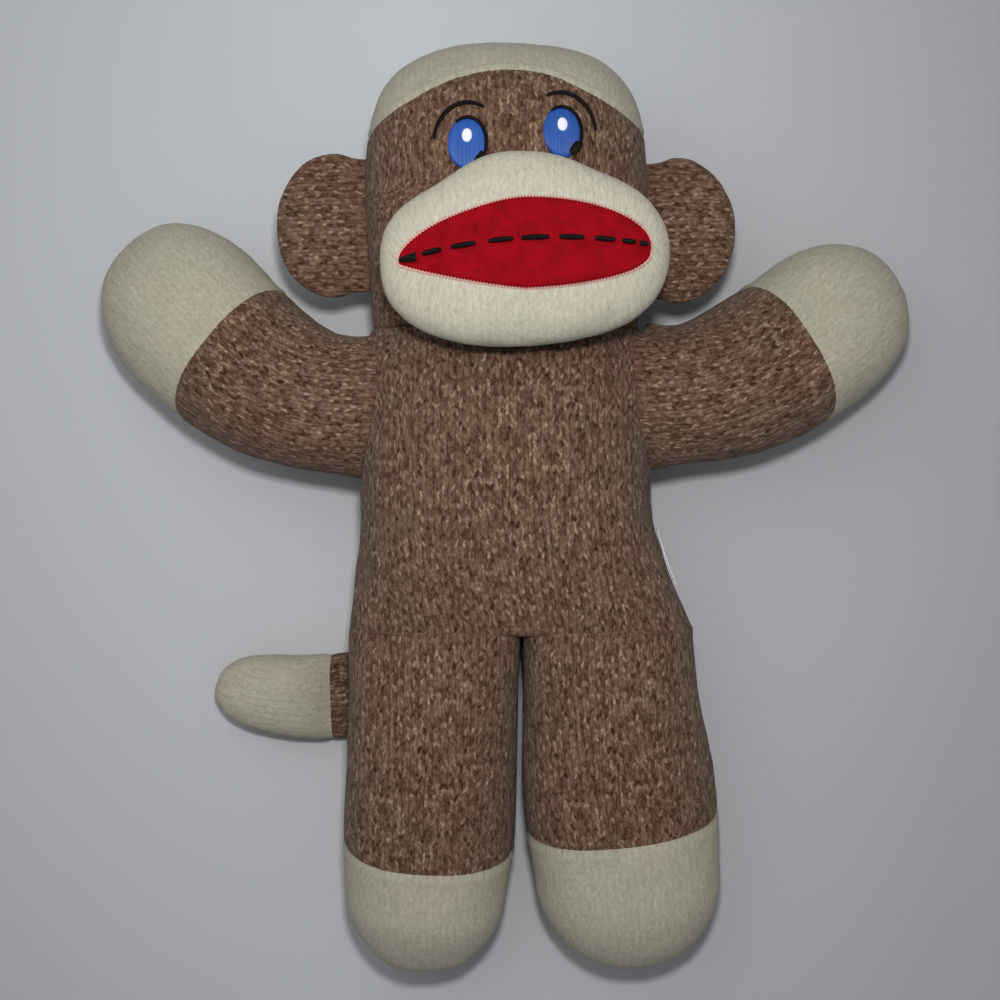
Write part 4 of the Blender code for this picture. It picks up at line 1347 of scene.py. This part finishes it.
def make_corner(height):
    """The fan of thread that closes the mouth's corner at the doll's right."""
    rows = []
    for share in steps(0.0, 1.0, 10):
        x = -MOUTH_HALF_LENGTH * (1.005 - CORNER_SHARE * share)
        half = CORNER_HALF_HEIGHT * math.sqrt(share) * (1.3 - 0.3 * share)
        middle = mouth_line(x) * 0.6 * share
        row = []
        for step in steps(-1.0, 1.0, 6):
            place = muzzle_place(x, middle + half * step)
            row.append((place.x, place.y, 0.0004 * (1 - step * step)))
        rows.append(row)
    return drape("mouth_corner_thread", rows, BLACK, DASH_RISE, 0.0002, height, sewing=True)


def disc(name, x, y, half_width, half_height, low, crown, height, looks):
    """An oval of satin stitch, domed, with its edge going into the cloth."""
    rings, columns = 9, 48

    def point(share, angle, lift):
        px = x + half_width * share * math.cos(angle)
        py = y + half_height * share * math.sin(angle)
        return (px, py, height(px, py) + low + lift)

    points = [point(0.0, 0.0, crown)]
    for r in range(1, rings + 1):
        share = r / rings
        lift = crown * math.sqrt(1 - share**4)
        points += [point(share, angle, lift) for angle in around(columns)]
    points += [point(1.0, angle, -ROOTED) for angle in around(columns)]
    points.append(point(0.0, 0.0, -ROOTED))
    under = 1 + rings * columns
    faces = [(0, 1 + c, 1 + (c + 1) % columns) for c in range(columns)]
    faces += [(a, d, c, b) for a, b, c, d in quads(rings + 1, columns, first=1)]
    faces += [(under + (c + 1) % columns, under + c, len(points) - 1) for c in range(columns)]
    return patch(name, points, faces, looks)


def make_eye(name, x, y, brow_start, brow_sweep, height):
    """An embroidered eye: pupil, rim, glint and brow."""

    def arc(half_width, half_height, start, sweep, count):
        return [
            (x + half_width * math.cos(a), y + half_height * math.sin(a))
            for a in steps(start, start + sweep, count)
        ]

    eye = (EYE_HALF_WIDTH, EYE_HALF_HEIGHT)
    glint = (GLINT_HALF_WIDTH, GLINT_HALF_HEIGHT)
    out = RIM_THREAD_WIDTH / 2 - 0.0007
    rim = arc(eye[0] + out, eye[1] + out, RIM_START, RIM_SWEEP, 40)
    blot = arc(eye[0] * BLOT_SHARE, eye[1] * BLOT_SHARE, BLOT_START, BLOT_SWEEP, 12)
    brow = arc(BROW_HALF_WIDTH, BROW_HALF_HEIGHT, brow_start, brow_sweep, 40)
    return {
        "eye": disc(name + "_iris", x, y, *eye, 0.0006, 0.0008, height, BLUE),
        "glint": disc(name + "_eye_glint", x, y + GLINT_RISE, *glint, 0.0014, 0.0005, height, WHITE),
        "eye_rim": stitch(name + "_rim_thread", rim, RIM_THREAD_WIDTH, 0.0009, height, taper=0.2),
        "brow": stitch(name + "_brow_thread", brow, BROW_THREAD_WIDTH, 0.0004, height, taper=0.3),
        "blot": stitch(name + "_blot_thread", blot, BLOT_WIDTH, 0.0015, height, tall=0.0003, taper=0.5),
    }


def make_label(form):
    """A blank ribbon sewn in by both ends, with its fold down: it hangs along the hip."""
    half = LABEL_LENGTH / TORSO_LENGTH / 2
    points = []
    for station in steps(LABEL_SHARE - half, LABEL_SHARE + half, 20):
        edge = form.point(station, 0.0)
        curl = LABEL_CURL * math.sin((station - LABEL_SHARE) / half * math.pi / 2) ** 2
        for turn in steps(0.0, math.pi, 28):
            out = (1 - math.cos(turn)) / 2 * (LABEL_THICKNESS - LABEL_PLY)
            down = math.sin(turn) ** 0.5 * LABEL_HEIGHT
            x = edge.x + GAP + LABEL_PLY / 2 + out + curl * math.sin(turn)
            points.append((x, edge.y, TORSO_Z - down))
    faces = [(a, d, c, b) for a, b, c, d in quads(21, 29, ring=False)]
    obj = made_object("care_label_tape", points, faces, [TAPE])
    ply = obj.modifiers.new("ply", "SOLIDIFY")
    ply.thickness = LABEL_PLY
    ply.offset = 0.0
    return obj


BROWN = brown_knit()
# The cream of the hands, feet and cap is darker than the muzzle's: partly the yarn's own colour, partly
# painted shade, a lit and a shaded copy of one cream
CREAM_PARTLY_PAINTED_SHADE = cream_knit("cream_wool_knit_partly_painted_shade", (147, 143, 127), (163, 159, 144), (176, 173, 159))
MUZZLE_CREAM = cream_knit("muzzle_cream_knit_partly_painted_light", (164, 160, 144), (181, 177, 162), (195, 191, 177))
RED = felt("red_felt_cloth", srgb(110, 2, 11), srgb(150, 5, 20))
PINK = felt("pale_edging", srgb(196, 140, 130), srgb(220, 176, 164))
BLUE = satin_stitch("blue_embroidery", srgb(12, 50, 124), srgb(40, 94, 180))
BLACK = satin_stitch("black_embroidery", srgb(6, 4, 6), srgb(20, 14, 15), gloss=0.12)
WHITE = satin_stitch("white_embroidery", srgb(214, 218, 238), srgb(250, 250, 255))
SEWING = satin_stitch("seam_thread", srgb(52, 34, 25), srgb(96, 70, 54))
TAPE = tape("label_ribbon", srgb(232, 232, 236))


# The whole doll, and what each piece stands for


def declare(piece, slot, *nodes, fill=None):
    """Hides the CAD nodes that a piece replaces. The piece, its colour slot and how full its padding is
    are not used.
    """
    if nodes:
        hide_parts(*nodes)


def sew(name, body, ring, heading, count=180):
    """The plied thread in the seam at the root of a form."""
    centre, sideways, upward, half_width, half_depth = ring
    middle = centre - heading * (SEAM / 2)
    path = []
    for angle in around(count):
        x, y = oval(angle, half_width - 2 * THREAD, half_depth - 2 * THREAD)
        path.append(middle + sideways * x + upward * y)
    seam = rope(name + "_seam", path, THREAD / 2, SEWING)
    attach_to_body(seam, body)
    declare(seam, "sewing_thread", name + "_thread")


def attach(cover, form, near, body, reach, fill, end=None, end_fill=0.8):
    """Bakes a limb's cover in place and sews it on. The second
    colour becomes a piece of its own, named end."""
    if end:
        cover, tip = parted(cover, (body + "_knit", end + "_knit"))
    centre, heading = form.ring(0.0)[0], form.heading(0.0)
    start, stop = centre - heading * SEAM, centre + heading * reach
    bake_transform(cover)
    declare(cover, "brown_knit", body + "_cover", body + "_filling", fill=fill)
    if end:
        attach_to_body(tip, body)
        declare(tip, "cream_knit", end, fill=end_fill)
    sew(body, near, form.ring(0.0), heading)


def make_covers():
    """Every stuffed cover, swollen together, by its part of the doll."""
    covers = {"torso": make_torso(), "head": make_head(), "muzzle": make_muzzle()}
    torso_tree, head_tree = tree_of(covers["torso"]), tree_of(covers["head"])
    shoulders, both = {}, [BROWN, CREAM_PARTLY_PAINTED_SHADE]
    for side, name in SIDE_NAMES.items():
        form = ear_form(side)
        targets = side_targets(form, head_tree, side, EAR_FLARE, EAR_MESH[-1])
        covers["ear", side] = limb(name + "_ear_knit", form, targets, EAR_MESH, 1.0, [BROWN])
        form = arm_form(side)
        targets = side_targets(form, torso_tree, side, SHOULDER_FLARE, ARM_MESH[-1])
        shoulders[side] = targets
        cuff = ARMS[side][5] / ARM_DOME_SHARE
        covers["arm", side] = limb(name + "_arm_whole", form, targets, ARM_MESH, cuff, both)
        form = leg_form(side)
        targets = seat_targets(form, side, LEG_MESH[-1])
        ankle = LEGS[side][4] / LEG_DOME_SHARE
        covers["leg", side] = limb(name + "_leg_whole", form, targets, LEG_MESH, ankle, both)
    form = tail_form()
    inward = form.heading(0.0) * (SEAM - 0.0004)
    targets = [form.point(0.0, a, slack(a)) - inward for a in around(TAIL_MESH[-1])]
    cuff = TAIL_CUFF_SHARE / TAIL_DOME_SHARE
    covers["tail"] = limb("tail_whole", form, targets, TAIL_MESH, cuff, both)
    puff(covers.values())
    for key, cover in covers.items():
        refine(cover)
        lumps(cover)
        if key in ("head", "tail") or key[0] in ("arm", "leg"):
            ridge(cover)
    return covers, shoulders


def make_face(muzzle, face):
    """The mouth on the muzzle, and the eyes on the face."""
    muzzle_height, face_height = surface_of(muzzle), surface_of(face)
    edging, mouth = make_mouth(muzzle_height)
    mouth_height = surface_of(mouth)

    def over_mouth(x, y):
        return mouth_height(x, y) or muzzle_height(x, y)

    threads = [make_corner(over_mouth)] + make_mouth_stitches(over_mouth)
    for piece in (edging, mouth, *threads):
        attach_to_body(piece, "head")
    declare(edging, "red_felt")
    declare(mouth, "red_felt", "mouth")
    declare(threads[0], "black_thread")
    for i, piece in enumerate(threads[1:]):
        declare(piece, "black_thread", f"mouth_stitch_{i + 1}")
    slots = {"eye": "blue_thread", "glint": "white_thread"}
    for name, shift, share, start, sweep in EYES:
        eye = make_eye(name, shift, HEAD_Y + HEAD_HEIGHT * share, start, sweep, face_height)
        for part, piece in eye.items():
            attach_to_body(piece, "head")
            nodes = [] if part == "blot" else [f"{name}_{part}"]
            declare(piece, slots.get(part, "black_thread"), *nodes)


def make_doll():
    covers, shoulders = make_covers()
    torso, muzzle = covers["torso"], covers["muzzle"]
    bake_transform(torso)
    declare(torso, "brown_knit", "torso_front", "torso_back", "torso_filling", fill=0.8)
    sew("neck", "neck", torso_form().ring(1.0), -Y_AXIS, 220)

    face, cap = parted(covers["head"], ("head_cover_knit", "crown_cap_knit"))
    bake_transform(face)
    declare(face, "brown_knit", "face_cover", "nape_cover", "head_filling", fill=0.9)
    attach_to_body(cap, "head")
    declare(cap, "cream_knit", "crown_cap", fill=0.9)
    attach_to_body(muzzle, "head")
    declare(muzzle, "cream_knit", "muzzle_cover", "muzzle_filling", fill=0.95)
    make_face(muzzle, face)

    for side, name in SIDE_NAMES.items():
        attach(covers["ear", side], ear_form(side), "head", name + "_ear", EAR_BEND, 0.5)
    for side, name in SIDE_NAMES.items():
        form, shoulder = arm_form(side), name + "_shoulder"
        attach(covers["arm", side], form, shoulder, name + "_arm", ARM_BEND, 0.8, name + "_hand")
        strip = gusset(shoulder + "_gusset", form, shoulders[side])
        middle, heading = form.ring(0.0)[0], form.heading(0.0)
        tuple(middle - heading * SEAM)
        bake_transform(strip)
    for side, name in SIDE_NAMES.items():
        body, foot = name + "_leg", name + "_foot"
        attach(covers["leg", side], leg_form(side), "torso", body, LEG_BEND, 0.8, foot)
    attach(covers["tail"], tail_form(), "torso", "tail", TAIL_BEND, 0.5, "tail_end", 0.7)

    label = make_label(torso_form())
    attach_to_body(label, "torso")
    declare(label, "label_tape", "care_label")


make_stage()
make_camera()
make_doll()
